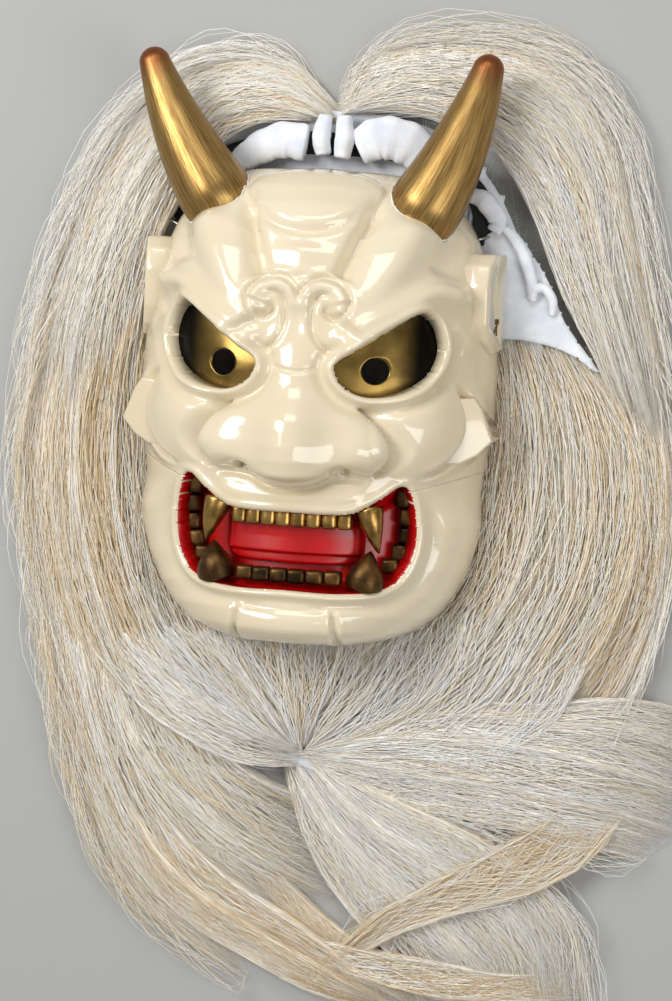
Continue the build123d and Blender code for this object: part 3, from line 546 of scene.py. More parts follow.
# %% Hair
# Bleached animal hair. Each hair has one tone, so each tone is a plain finish of its own.
HAIR_TONES = ["fffbf2", "f7f4ee", "fcf0da", "f3dfba", "dfc293", "ffffff"]
hair_finishes = []
for number, tone in enumerate(HAIR_TONES):
    finish, tree, shader = new_finish(
        f"bleached_hair_{number}", {"Base Color": linear(tone), "Roughness": 0.42, "IOR": 1.55})
    hair_finishes.append(finish)
# Hair lying packed under the loose ones: the same tones in fine streaks along the hair.
packed_hair, tree, shader = new_finish("packed_hair", {"Roughness": 0.6, "IOR": 1.5})
noise = two_tones(tree, shader, "c6b89c", "faf5ea", 1.0, 0.35, 0.6, stretch=(14.0, 0.25, 1.0), coords="UV", detail=6)
bumps(tree, shader, noise.outputs["Fac"], 0.0008, 0.8)
print(len(bpy.data.materials), "finishes")


# %% [markdown]
# ## The face and the jaw
#
# Both shells use the same head, carving and openings. They meet at the seam that runs from the corner
# of the mouth out under the cheek.

# %% Sculpt one shell
def seam_y(x):
    line = np.array(SEAM)
    return np.interp(abs(x), line[:, 0], line[:, 1])


def sculpt(name, y_low, y_high, rows, cols, jaw):
    """One of the two carved shells, as one closed mesh."""
    t = np.linspace(-math.pi / 2, math.pi / 2, cols)
    ys = np.linspace(y_high, y_low, rows)
    x = section(ys)[0][:, None] * np.sin(t)[None, :]
    y = np.repeat(ys[:, None], cols, 1)
    step = abs(ys[0] - ys[1])
    x, y = snap(x, y, EYE, 0.62 * step, mirror=True)
    x, y = snap(x, y, MOUTH, 0.62 * step)
    x[:, 0], x[:, -1] = -section(y[:, 0])[0], section(y[:, -1])[0]
    near_seam = (abs(y - seam_y(x)) < 0.6 * step) & (inside_distance(x, y, MOUTH) > 0.4 * step)
    y = np.where(near_seam, seam_y(x), y)
    base = np.stack([x, y, base_height(x, y)], -1)
    rise = np.gradient(base, axis=0)
    run = np.gradient(base, axis=1)
    normal = np.cross(run, -rise)
    normal /= np.maximum(np.linalg.norm(normal, axis=-1, keepdims=True), 1e-9)
    normal[normal[..., 2] < 0] *= -1
    carved = relief(x, y) * smoothstep(section(y)[1], 4, 24)
    top = base + normal * carved[..., None]
    under = base - normal * (WALL + 1.2)
    mouth = inside_distance(x, y, MOUTH)
    if jaw:
        inward = smoothstep(section(y)[0], 0, 30)
        under = base - normal * (WALL + 2.0) * inward[..., None]
    top[..., 2] = np.maximum(top[..., 2], 0) + RIM_Z
    under[..., 2] = np.maximum(under[..., 2], 0) + RIM_Z
    centre = lambda g: (g[:-1, :-1] + g[1:, :-1] + g[:-1, 1:] + g[1:, 1:]) / 4
    cx, cy = centre(x), centre(y)
    keep = (inside_distance(abs(cx), cy, EYE) > 0) & (inside_distance(cx, cy, MOUTH) > 0)
    keep &= (cy < seam_y(cx)) if jaw else (cy > seam_y(cx))

    def edge_slot(px, py):
        near_mouth = abs(inside_distance(np.array([px]), np.array([py]), MOUTH)[0]) < 0.5
        return 1 if near_mouth else 0

    points, faces, slots = shell(x, y, top, under, keep, edge_slot)
    obj = mesh_object(name, points, faces, [lacquer, vermilion, inside_wood], face_slots=slots)
    tidy_mesh(obj)
    print(name, len(obj.data.polygons), "faces")
    return obj


def finish_piece(obj, slot_name, *nodes, body=BODY):
    """Ties a piece to its body and hides the CAD nodes it stands for. slot_name is not used."""
    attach(obj, body)
    if nodes:
        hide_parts(*nodes)
    return obj


face = sculpt("carved_face", -48.0, SECTIONS[-1, 0], 216, 236, jaw=False)
jaw = sculpt("carved_jaw", SECTIONS[0, 0], -14.0, 140, 190, jaw=True)


# %% [markdown]
# ## Ears and cheek flaps
#
# The ears are flat slabs that lean inwards, with a carved crescent and a hole for the tying cord.
# Below each ear the cheek ends in a pointed flap. Both are cut from the same wood as the face.

# %% Slabs at the sides
def side_slab(outline_yz, inner_x, outer_x, lean, side, bevel):
    """A slab over an outline in the y-z plane. Its outer face leans inwards by lean per mm of height."""
    work = bmesh.new()
    outer = [work.verts.new((side * (outer_x - lean * z), y, z + RIM_Z)) for y, z in outline_yz]
    inner = [work.verts.new((side * inner_x, y, z + RIM_Z)) for y, z in outline_yz]
    work.faces.new(outer)
    work.faces.new(inner[::-1])
    count = len(outer)
    for k in range(count):
        work.faces.new((outer[k], inner[k], inner[(k + 1) % count], outer[(k + 1) % count]))
    edge_loop = [e for e in work.edges if all(v in outer for v in e.verts)]
    edge_loop += [e for e in work.edges if sum(v in outer for v in e.verts) == 1]
    bmesh.ops.bevel(work, geom=edge_loop, offset=bevel, segments=4, profile=0.5, affect="EDGES")
    bmesh.ops.recalc_face_normals(work, faces=work.faces)
    bmesh.ops.scale(work, vec=(MM, MM, MM), verts=work.verts)
    mesh = bpy.data.meshes.new("slab")
    work.to_mesh(mesh)
    work.free()
    obj = bpy.data.objects.new("slab", mesh)
    bpy.context.scene.collection.objects.link(obj)
    mesh.materials.append(lacquer)
    mesh.materials.append(vermilion)
    mesh.materials.append(inside_wood)
    mesh.polygons.foreach_set("use_smooth", np.full(len(mesh.polygons), True))
    return obj


def tube(points_mm, radius, sides=8, name="tube", slots=()):
    """A round tube along points, as a closed mesh. radius is one number or one for each point."""
    pts = np.array(points_mm, float)
    radii = np.broadcast_to(radius, (len(pts),))
    way = np.gradient(pts, axis=0)
    way /= np.linalg.norm(way, axis=1, keepdims=True)
    helper = np.array((0.0, 0.0, 1.0)) if abs(way[:, 2]).mean() < 0.8 else np.array((0.0, 1.0, 0.0))
    a = np.cross(way, helper)
    a /= np.linalg.norm(a, axis=1, keepdims=True)
    b = np.cross(way, a)
    turns = np.linspace(0, 2 * math.pi, sides, endpoint=False)
    rings = pts[:, None] + radii[:, None, None] * (
        a[:, None] * np.cos(turns)[None, :, None] + b[:, None] * np.sin(turns)[None, :, None])
    verts = rings.reshape(-1, 3)
    faces = []
    for k in range(len(pts) - 1):
        for s in range(sides):
            n = (s + 1) % sides
            faces.append((k * sides + s, k * sides + n, (k + 1) * sides + n, (k + 1) * sides + s))
    faces.append(tuple(range(sides))[::-1])
    faces.append(tuple(range((len(pts) - 1) * sides, len(pts) * sides)))
    obj = mesh_object(name, verts, faces, list(slots))
    return tidy_mesh(obj)


def cut(obj, tool):
    """Cuts a tool out of a piece, and removes the tool."""
    modifier = obj.modifiers.new("cut", "BOOLEAN")
    modifier.operation = "DIFFERENCE"
    modifier.solver = "EXACT"
    modifier.object = tool
    bake(obj)
    bpy.data.objects.remove(tool)


def bake(obj):
    """Turns an object with live modifiers into a plain mesh."""
    graph = bpy.context.evaluated_depsgraph_get()
    mesh = bpy.data.meshes.new_from_object(obj.evaluated_get(graph))
    obj.modifiers.clear()
    obj.data = mesh


def join(first, others):
    """Joins pieces into the first one."""
    bpy.ops.object.select_all(action="DESELECT")
    for obj in (first, *others):
        obj.select_set(True)
    bpy.context.view_layer.objects.active = first
    bpy.ops.object.join()
    return first


def fin(outline_xy, side, low, high, drop, bevel):
    """A fin over a plan outline. Its front face falls by drop per mm away from the middle."""
    work = bmesh.new()
    front = [work.verts.new((side * x, y, RIM_Z + high - drop * (x - 60))) for x, y in outline_xy]
    back = [work.verts.new((side * x, y, RIM_Z + low)) for x, y in outline_xy]
    work.faces.new(front)
    work.faces.new(back[::-1])
    count = len(front)
    for k in range(count):
        work.faces.new((front[k], back[k], back[(k + 1) % count], front[(k + 1) % count]))
    sharp = [e for e in work.edges if all(v in front for v in e.verts)]
    bmesh.ops.bevel(work, geom=sharp, offset=bevel, segments=3, profile=0.5, affect="EDGES")
    bmesh.ops.recalc_face_normals(work, faces=work.faces)
    bmesh.ops.scale(work, vec=(MM, MM, MM), verts=work.verts)
    mesh = bpy.data.meshes.new("fin")
    work.to_mesh(mesh)
    work.free()
    obj = bpy.data.objects.new("fin", mesh)
    bpy.context.scene.collection.objects.link(obj)
    for material in (lacquer, vermilion, inside_wood):
        mesh.materials.append(material)
    mesh.polygons.foreach_set("use_smooth", np.full(len(mesh.polygons), True))
    return obj


EAR = [(33.0, 0.2), (31.0, 12.0), (36.0, 18.5), (44.0, 22.5), (60.0, 24.0), (69.0, 21.5), (74.0, 15.0), (74.5, 0.2)]
FLAP = [(62.0, 12.0), (72.5, 13.0), (76.0, 8.0), (81.0, -5.0), (75.0, -11.5), (68.0, -15.5), (60.0, -16.0)]
EAR_LEAN = 0.22
extras = []
for side in (1, -1):
    ear = side_slab(EAR, 60.0, 80.0, EAR_LEAN, side, 1.3)
    shares = np.linspace(-1, 1, 17)
    crescent = [
        (side * (80.6 - EAR_LEAN * z), 57.0 + 9.5 * k, z + RIM_Z)
        for k, z in zip(shares, 11.0 + 5.0 * np.cos(1.35 * shares))
    ]
    cut(ear, tube(crescent, 0.35 + 1.0 * np.cos(1.35 * shares), slots=[lacquer]))
    for start, end in (((45.5, 7.0), (45.5, 12.5)), ((39.5, 9.5), (45.0, 9.8)), ((40.5, 13.0), (44.5, 9.0))):
        stroke = []
        for share in (0.0, 0.33, 0.66, 1.0):
            y, z = start[0] + (end[0] - start[0]) * share, start[1] + (end[1] - start[1]) * share
            stroke.append((side * (80.0 - EAR_LEAN * z), y, z + RIM_Z))
        cut(ear, tube(stroke, 1.2, slots=[inside_wood]))
    flap = fin(FLAP, side, 1.0, 33.0, 0.30, 1.0)
    extras += [ear, flap]
join(face, extras)
print("face with ears:", len(face.data.polygons), "faces")
finish_piece(face, "lacquer", "face_shell")
finish_piece(jaw, "lacquer", "jaw_shell", "jaw_dowels")


# %% [markdown]
# ## Horns
#
# Each horn is turned from wood, covered in red lacquer and brushed lengthwise with gold paint. Its
# surface has its own length and turn coordinates, so that the brush marks run along it. A thin uneven
# line of white filler closes the joint with the forehead.

# %% Horns with coordinates along and around
HORN_ROOT = (47.0, 95.0, 22.0)  # beside the middle, up the forehead, above the rim
HORN_LENGTH, HORN_BASE, HORN_TIP = 67.5, 16.0, 6.8
HORN_LEAN = {1: 61.0, -1: 54.0}  # degrees from level; carved horns are never quite alike


def horn_line(side, count=26):
    """Middle line and radii of a horn, starting inside the forehead."""
    points, radii = [], []
    here = np.array([side * HORN_ROOT[0], HORN_ROOT[1], HORN_ROOT[2] + RIM_Z])
    lean = math.radians(HORN_LEAN[side])
    way = np.array([side * math.cos(lean), math.sin(lean), 0.0])
    points.append(here - way * 15.0)
    radii.append(HORN_BASE)
    run = HORN_LENGTH - HORN_TIP
    for step in range(count + 1):
        share = step / count
        turn = lean + math.radians(15.0) * share
        way = np.array([side * math.cos(turn), math.sin(turn), 0.0])
        if step:
            here = here + way * run / count
        points.append(here.copy())
        radii.append(HORN_BASE + (HORN_TIP - HORN_BASE) * share**1.2)
    for angle in np.linspace(0.2, 1.45, 7):
        points.append(here + way * HORN_TIP * math.sin(angle))
        radii.append(HORN_TIP * math.cos(angle))
    return np.array(points), np.array(radii), way


def make_horn(side, name):
    points, radii, _ = horn_line(side)
    sides = 40
    obj = tube(points, radii, sides, name, [horn_gold])
    layer = obj.data.uv_layers.new(name="brush")
    spine = points
    run = np.concatenate([[0], np.cumsum(np.linalg.norm(np.diff(spine, axis=0), axis=1))])
    coords = np.empty(len(obj.data.vertices) * 3)
    obj.data.vertices.foreach_get("co", coords)
    coords = coords.reshape(-1, 3) / MM
    nearest = np.linalg.norm(coords[:, None] - spine[None], axis=2).argmin(1)
    off = coords - spine[nearest]
    turn = np.arctan2(off[:, 2], off[:, 0] * side) / (2 * math.pi)
    share = run[nearest] / run[-1]
    loops = np.empty(len(obj.data.loops), np.int32)
    obj.data.loops.foreach_get("vertex_index", loops)
    layer.data.foreach_set("uv", np.stack([turn[loops] * 4, share[loops] * 4], -1).ravel())
    obj.data.polygons.foreach_set("use_smooth", np.full(len(obj.data.polygons), True))
    return obj


def surface_z(x, y):
    """Height over the floor of the carved face's outside, nearly."""
    return base_height(x, y) + relief(x, y) + RIM_Z


filler, tree, shader = new_finish("white_filler", {"Roughness": 0.5})
noise = two_tones(tree, shader, "d8d2c4", "f2efe6", 300.0, 0.3, 0.7)
bumps(tree, shader, noise.outputs["Fac"], 0.0004, 0.6)
for side, word in ((1, "left"), (-1, "right")):
    horn = make_horn(side, f"gilt_horn_{word}")
    points, radii, _ = horn_line(side)
    way = points[1] - points[0]
    way /= np.linalg.norm(way)
    out_of = np.array([0.0, 0.0, 1.0])
    across = np.cross(way, out_of)
    rng = np.random.default_rng(31)
    ring = []
    for turn in np.linspace(-0.2, math.pi + 0.2, 44):
        spoke = across * math.cos(turn) + out_of * math.sin(turn)
        reach = np.linspace(-14, 16, 61)
        radius = HORN_BASE + (HORN_TIP - HORN_BASE) * np.clip(reach / HORN_LENGTH, 0, 1) ** 1.2
        places = points[1] + way * reach[:, None] + spoke * radius[:, None]
        proud = places[:, 2] > surface_z(places[:, 0], places[:, 1])
        if proud.any():
            ring.append(places[proud.argmax()] + spoke * 0.1 + rng.normal(0, 0.12, 3))
    bead = tube(smooth_line(ring, 3), 0.42, 6, f"horn_joint_{word}", [filler])
    finish_piece(horn, "gilt_horn", f"{word}_horn")
    finish_piece(bead, "lacquer")

# %% [markdown]
# ## Eyes
#
# The eye is a piece of brass sheet, dished and fixed behind the opening, with a round sight hole. Towards
# the temple its colour is painted nearly black, a painted dark reflection.

# %% Dished brass plates
PUPIL = (32.5, 22.5)
PUPIL_RADIUS = 5.6


def eye_plate(side, name):
    """A dished sheet with a round hole, 0.8 mm thick, its grid running round the hole."""
    turns, rings = 72, 16
    rim = EYE * 1.0
    middle = rim.mean(0)
    rim = middle + (rim - middle) * 1.13
    angle = np.arctan2(rim[:, 1] - PUPIL[1], rim[:, 0] - PUPIL[0])
    reach = np.hypot(rim[:, 1] - PUPIL[1], rim[:, 0] - PUPIL[0])
    order = np.argsort(angle)
    steps = np.linspace(-math.pi, math.pi, turns, endpoint=False)
    far = np.interp(steps, np.concatenate([angle[order] - 2 * math.pi, angle[order], angle[order] + 2 * math.pi]),
                    np.tile(reach[order], 3))
    share = np.linspace(0, 1, rings)[:, None]
    r = PUPIL_RADIUS + (far[None, :] - PUPIL_RADIUS) * share
    x = PUPIL[0] + r * np.cos(steps)
    y = PUPIL[1] + r * np.sin(steps)
    front = base_height(x, y) - 5.2 + 1.2 * (1 - share) * np.ones_like(x)
    verts, faces = [], []
    for drop in (0.0, 0.8):
        for k in range(rings):
            for t in range(turns):
                verts.append((side * x[k, t], y[k, t], RIM_Z + front[k, t] - drop))
    size = rings * turns
    for k in range(rings - 1):
        for t in range(turns):
            n = (t + 1) % turns
            quad = (k * turns + t, k * turns + n, (k + 1) * turns + n, (k + 1) * turns + t)
            faces.append(quad)
            faces.append(tuple(i + size for i in quad[::-1]))
    for k in (0, rings - 1):
        for t in range(turns):
            n = (t + 1) % turns
            faces.append((k * turns + t, k * turns + n, k * turns + n + size, k * turns + t + size))
    obj = mesh_object(name, verts, faces, [eye_brass])
    return tidy_mesh(obj)


for side, word in ((1, "left"), (-1, "right")):
    finish_piece(eye_plate(side, f"brass_eye_{word}"), "brass_sheet", f"{word}_eye_plate")

# %% [markdown]
# ## Inside the mouth
#
# A red lacquered tray closes the mouth. Gilt teeth stand on it: eight front teeth above, six below,
# four fangs, and dark back teeth at the corners. The tongue is a plain step in the tray.

# %% The tray
def grid_piece(name, x, y, top, thickness, slots):
    """A closed sheet over a grid of places."""
    rows, cols = x.shape
    keep = np.ones((rows - 1, cols - 1), bool)
    upper = np.stack([x, y, top + RIM_Z], -1)
    lower = np.stack([x, y, top - thickness + RIM_Z], -1)
    points, faces, face_slots = shell(x, y, upper, lower, keep, lambda a, b: 0)
    obj = mesh_object(name, points, faces, slots, face_slots=[0] * len(faces))
    return tidy_mesh(obj)


tx, ty = np.meshgrid(np.linspace(-60, 60, 97), np.linspace(-80, -16, 65))
edge = inside_distance(tx, ty, MOUTH)
tray_top = base_height(tx, ty) - 5.6 - 12.0 * smoothstep(-edge, -3.0, 5.0)
tray = grid_piece("mouth_tray", tx, ty, np.maximum(tray_top, 1.5), 1.2, [vermilion])
finish_piece(tray, "red_lacquer", "mouth_lining")

ux, uy = np.meshgrid(np.linspace(-30, 30, 61), np.linspace(-62, -42, 41))
swell_up = 1 - np.clip((abs(ux) / 30) ** 6 + (abs(uy + 52) / 10) ** 8, 0, 1) ** 3
step_down = 3.2 * smoothstep(-uy, 56.3, 57.5)
plate_top = base_height(ux, uy) - 10.6 - step_down - 5.5 * (1 - swell_up) + 0.8 * (1 - (ux / 30) ** 2)
tongue = grid_piece("tongue_plate", ux, uy, plate_top, 3.0, [vermilion])
finish_piece(tongue, "red_lacquer", "tongue")

# %% Teeth
def tooth_block(name, centre, size, material, seed, fluted=0.0):
    """One square tooth with rounded edges, slightly uneven, as carved."""
    work = bmesh.new()
    bmesh.ops.create_cube(work, size=1.0)
    bmesh.ops.scale(work, vec=size, verts=work.verts)
    bmesh.ops.bevel(work, geom=work.edges[:], offset=0.28 * min(size), segments=3, profile=0.6, affect="EDGES")
    bmesh.ops.subdivide_edges(work, edges=[e for e in work.edges if e.calc_length() > 0.3 * min(size)], cuts=1)
    rng = np.random.default_rng(seed)
    shift = rng.uniform(0, 6, 3)
    for v in work.verts:
        wob = 0.18 * math.sin(1.9 * v.co.x + shift[0]) * math.cos(1.4 * v.co.y + shift[1])
        v.co.z += wob + fluted * math.cos(math.pi * v.co.x / size[0]) * (1 if v.co.z > 0 else 0)
    bmesh.ops.translate(work, vec=centre, verts=work.verts)
    bmesh.ops.scale(work, vec=(MM, MM, MM), verts=work.verts)
    mesh = bpy.data.meshes.new(name)
    work.to_mesh(mesh)
    work.free()
    mesh.materials.append(material)
    mesh.polygons.foreach_set("use_smooth", np.full(len(mesh.polygons), True))
    obj = bpy.data.objects.new(name, mesh)
    bpy.context.scene.collection.objects.link(obj)
    return obj


def tooth_row(name, count, width, y, height, level, material, node, fluted):
    """Teeth side by side along the curve of the jaw, joined into one piece."""
    row = []
    for k in range(count):
        x = width * (k - (count - 1) / 2)
        z = base_height(np.array([x]), np.array([y]))[0] - level + RIM_Z
        row.append(tooth_block(name, (x, y, z - 3.0), (width + 0.1, height, 6.5), material, 40 + k, fluted))
    obj = join(row[0], row[1:])
    obj.name = name
    return finish_piece(obj, "gilt", node)


tooth_row("upper_front_teeth", 8, 6.5, -41.6, 7.6, 4.6, tooth_gold, "upper_teeth", 0.5)
tooth_row("lower_front_teeth", 6, 7.6, -66.2, 6.2, 4.8, dark_gold, "lower_teeth", 0.3)


def fang(name, root, tip, radius, material, node, slot_name, bulge=0.12):
    """A round fang that bends slightly, thick at its root."""
    root, tip = np.array(root, float), np.array(tip, float)
    shares = np.linspace(0, 1, 15)
    bend = np.array([0.0, 0.0, 1.0])
    points = [root + (tip - root) * t + bend * 1.6 * math.sin(math.pi * t) for t in shares]
    radii = radius * (1 - shares) ** 0.8 * (1 + bulge * np.sin(math.pi * shares)) + 0.35
    obj = tube(points, radii, 18, name, [material])
    obj.data.polygons.foreach_set("use_smooth", np.full(len(obj.data.polygons), True))
    return finish_piece(obj, slot_name, node)


def level(x, y, below):
    return base_height(np.array([abs(x)]), np.array([y]))[0] - below + RIM_Z


for side, word in ((1, "left"), (-1, "right")):
    fang(f"upper_fang_{word}", (side * 32.5, -36.0, level(32.5, -36, 5.5)),
         (side * 37.5, -54.5, level(37.5, -54.5, 3.5)), 5.8, tooth_gold, f"upper_{word}_fang", "gilt")
    fang(f"lower_fang_{word}", (side * 32.0, -68.5, level(32, -68.5, 6.5)),
         (side * 34.0, -54.0, level(34, -54, 6.0)), 8.0, dark_gold, f"lower_{word}_fang", "gilt", 0.3)
    blocks = []
    for k, (x, y, wide, tall) in enumerate(((45.0, -31.0, 7.0, 8.5), (46.8, -39.5, 7.0, 8.0), (46.8, -47.5, 7.0, 7.5),
                                            (44.5, -55.0, 7.5, 7.5), (41.0, -61.0, 7.5, 6.5))):
        z = level(x, y, 9.0 + 0.6 * k)
        blocks.append(tooth_block("molar", (side * x, y, z - 3.0), (wide, tall, 8.0), dark_gold, 60 + k, 0.4))
    molars = join(blocks[0], blocks[1:])
    molars.name = f"back_teeth_{word}"
    finish_piece(molars, "dark_gilt", f"{word}_molars")

# %% [markdown]
# ## Rings, strap and cloth
#
# The cap is washed white cotton. Its front edge is folded into soft tubes and loops, and a black
# elastic strap passes behind the head through small wire rings at the temples.

# %% Rings and strap
for word in ("left", "right"):
    low, high = span(f"{word}_ring")
    middle = (low + high) / 2
    half = (high - low) / 2
    radius = half[2] - 0.6
    flat = np.array([half[0], half[1] * (1 if word == "left" else -1), 0.0])
    flat = flat / np.linalg.norm(flat)
    turns = np.linspace(0, 2 * math.pi, 33)[:-1]
    loop_points = [middle + flat * radius * math.cos(t) + np.array([0, 0, radius]) * math.sin(t) for t in turns]
    count, sides = len(loop_points), 8
    verts, faces = [], []
    for t, p in zip(turns, loop_points):
        spoke = (p - middle) / radius
        side_way = np.cross(flat, (0, 0, 1))
        for s in range(sides):
            a = 2 * math.pi * s / sides
            verts.append(p + 0.6 * (spoke * math.cos(a) + side_way * math.sin(a)))
    for k in range(count):
        for s in range(sides):
            n, m = (s + 1) % sides, (k + 1) % count
            faces.append((k * sides + s, k * sides + n, m * sides + n, m * sides + s))
    ring_piece = tidy_mesh(mesh_object(f"wire_ring_{word}", verts, faces, [wire]))
    finish_piece(ring_piece, "steel_wire", f"{word}_ring", body=f"{word}_ring_body")

# %% The elastic strap
def band(name, path, width, thickness, end_thickness, level, ribs=7):
    """A flat woven band lying along a path, folded over at both ends, with ribs along it."""
    line = smooth_line(path, 10)
    count = len(line)
    way = np.gradient(line, axis=0)
    way /= np.linalg.norm(way, axis=1, keepdims=True)
    gone = np.concatenate([[0], np.linalg.norm(np.diff(line, axis=0), axis=1).cumsum()])
    end = np.minimum(gone, gone[-1] - gone)
    half_thick = (thickness + (end_thickness - thickness) * np.clip((6.5 - end) / 1.5, 0, 1)) / 2
    half_wide = width / 2 * (1 - 0.62 * np.clip((7.5 - end) / 2.5, 0, 1))
    steps = 4 * ribs + 1
    verts = []
    for k in range(count):
        wave = 0.2 * math.sin(gone[k] * 0.21 + 0.6) + 0.1 * math.sin(gone[k] * 0.53)
        across = np.array([-way[k, 1], way[k, 0], 0.0])
        for face_way in (1, -1):
            for j in range(steps):
                u = (2 * j / (steps - 1) - 1) * face_way
                edge = 1 - 0.75 * max(0.0, (abs(u) - 0.93) / 0.07) ** 2
                rib = 0.07 * math.cos(math.pi * ribs * (u + 1))
                middle = np.array([line[k, 0], line[k, 1], level + wave])
                verts.append(middle + across * u * half_wide[k]
                             + np.array([0, 0, face_way * (half_thick[k] + rib) * edge]))
    around = 2 * steps
    faces = [(k * around + j, k * around + (j + 1) % around, (k + 1) * around + (j + 1) % around, (k + 1) * around + j)
             for k in range(count - 1) for j in range(around)]
    faces.append(tuple(range(around))[::-1])
    faces.append(tuple(range((count - 1) * around, count * around)))
    return tidy_mesh(mesh_object(name, verts, faces, [elastic]))


STRAP_HALF = [(66.5, 78.0), (67.5, 92.0), (58.0, 105.0), (30.0, 116.5), (0.0, 118.5)]
strap = band("woven_head_strap", STRAP_HALF + [(-x, y) for x, y in reversed(STRAP_HALF[:-1])], 10.0, 0.9, 3.0,
             sum(span("head_strap")[k][2] for k in (0, 1)) / 2)
finish_piece(strap, "black_elastic", "head_strap")

# %% Soft tubes and sheets of cotton
def puffy(name, path, widths, heights, seed, node, creases=5, deep=0.9):
    """A soft stuffed fold of cotton along a path, with gathered creases across it."""
    line = smooth_line(path, 8)
    count = len(line)
    share = np.linspace(0, 1, count)
    wide = np.interp(share, np.linspace(0, 1, len(widths)), widths)
    tall = np.interp(share, np.linspace(0, 1, len(heights)), heights)
    rng = np.random.default_rng(seed)
    phase = rng.uniform(0, 6.28, 6)
    way = np.gradient(line, axis=0)
    way[:, 2] = 0
    way /= np.linalg.norm(way, axis=1, keepdims=True)
    across = np.stack([-way[:, 1], way[:, 0], np.zeros(count)], -1)
    sides = 28
    verts = []
    for k in range(count):
        for s in range(sides):
            a = 2 * math.pi * s / sides
            wrinkle = deep * math.sin(creases * 6.28 * share[k] + phase[0] + 1.2 * math.sin(a + phase[1]))
            wrinkle += 0.5 * deep * math.sin(2.3 * creases * 6.28 * share[k] + phase[2] + 2 * a)
            grow = 1 + 0.07 * wrinkle
            bulge = math.sin(a)
            flat = abs(math.cos(a)) ** 0.8 * math.copysign(1, math.cos(a))
            p = line[k] + across[k] * flat * wide[k] * grow
            p = p + np.array([0, 0, bulge * tall[k] * grow])
            p[2] = max(p[2], CAP_TOP + 0.1)
            verts.append(p)
    faces = []
    for k in range(count - 1):
        for s in range(sides):
            n = (s + 1) % sides
            faces.append((k * sides + s, k * sides + n, (k + 1) * sides + n, (k + 1) * sides + s))
    faces.append(tuple(range(sides))[::-1])
    faces.append(tuple(range((count - 1) * sides, count * sides)))
    obj = tidy_mesh(mesh_object(name, verts, faces, [cotton]))
    smooth = obj.modifiers.new("soften", "SUBSURF")
    smooth.levels = 1
    bake(obj)
    finish_piece(obj, "cotton", *([node] if node else []))
    return obj


puffy("cap_fold_left_side", [(11, 117, 17), (22, 122, 17), (35, 119, 16), (47, 108, 14)], [8, 9.5, 9.5, 7],
      [4, 4.8, 4.6, 3], 71, "cap_fold_left", creases=5, deep=0.7)
puffy("cap_fold_right_side", [(-11, 118, 17), (-22, 119, 17), (-34, 114, 16), (-44, 106, 14)], [8, 8, 7, 5],
      [4, 4.6, 4.2, 3], 72, "cap_fold_right", creases=4, deep=0.6)
puffy("centre_loop_left", [(4.5, 112, 18), (5.5, 121, 19), (4.5, 131, 17)], [3.6, 4.4, 3.2], [4.5, 5.5, 3.5], 73,
      "centre_loop", creases=2, deep=0.5)
puffy("centre_loop_right", [(-3.5, 113, 18), (-4.8, 121, 19), (-3.5, 131, 17)], [3.2, 4.2, 3.0], [4.5, 5.5, 3.5], 74,
      None, creases=2, deep=0.5)
for side, word, seed in ((1, "left", 75), (-1, "right", 76)):
    puffy(f"temple_loop_{word}",
          [(side * 60, 100, 14), (side * 68, 97, 15), (side * 74, 89, 14.5), (side * 72, 84, 13)],
          [3.0, 4.4, 4.4, 3.0], [2.5, 3.6, 3.6, 2.4], seed, f"{word}_loop", creases=3, deep=0.6)
puffy("side_strip_fold", [(77, 86, 13), (83, 80, 14), (88, 71, 14), (91, 60, 13), (90, 55, 12)],
      [2.0, 2.8, 3.0, 2.6, 1.6], [2.2, 3.0, 3.0, 2.4, 1.4], 77, "side_strip", creases=3, deep=0.4)
puffy("side_loop_fold", [(91, 55, 13), (92, 60, 14), (96, 61, 14), (100, 56, 14), (100, 49, 13)],
      [1.6, 2.1, 2.1, 2.1, 1.5], [1.6, 2.1, 2.1, 2.0, 1.4], 78, "side_loop", creases=2, deep=0.3)


# %% Flat cotton
def cotton_sheet(name, outline, low_z, node, seed, ripple=0.5, cell=2.0):
    """A cut sheet lying over the wig, its edge following an outline, with soft ripples."""
    ring = np.array(outline, float)
    x0, y0 = ring.min(0) - cell
    x1, y1 = ring.max(0) + cell
    gx, gy = np.meshgrid(np.arange(x0, x1, cell), np.arange(y0, y1, cell))
    gx, gy = snap(gx, gy, ring, 0.62 * cell)
    mid = lambda g: (g[:-1, :-1] + g[1:, :-1] + g[:-1, 1:] + g[1:, 1:]) / 4
    keep = inside_distance(mid(gx), mid(gy), ring) < 0
    rng = np.random.default_rng(seed)
    p = rng.uniform(0, 6.28, 4)
    wave = np.sin(gx * 0.16 + p[0] + 0.7 * np.sin(gy * 0.11 + p[1])) * np.cos(gy * 0.13 + p[2])
    hem = 0.25 * np.exp(-(((-inside_distance(gx, gy, ring) - 2.2) / 0.8) ** 2))
    top = low_z + 0.7 + ripple * (1 + wave) + hem
    upper = np.stack([gx, gy, top], -1)
    lower = np.stack([gx, gy, top - 0.6], -1)
    points, faces, _ = shell(gx, gy, upper, lower, keep, lambda a, b: 0)
    obj = tidy_mesh(mesh_object(name, points, faces, [cotton]))
    finish_piece(obj, "cotton", *([node] if node else []))
    return obj


def plan(points, steps=4):
    return smooth_line(points, steps, closed=True)


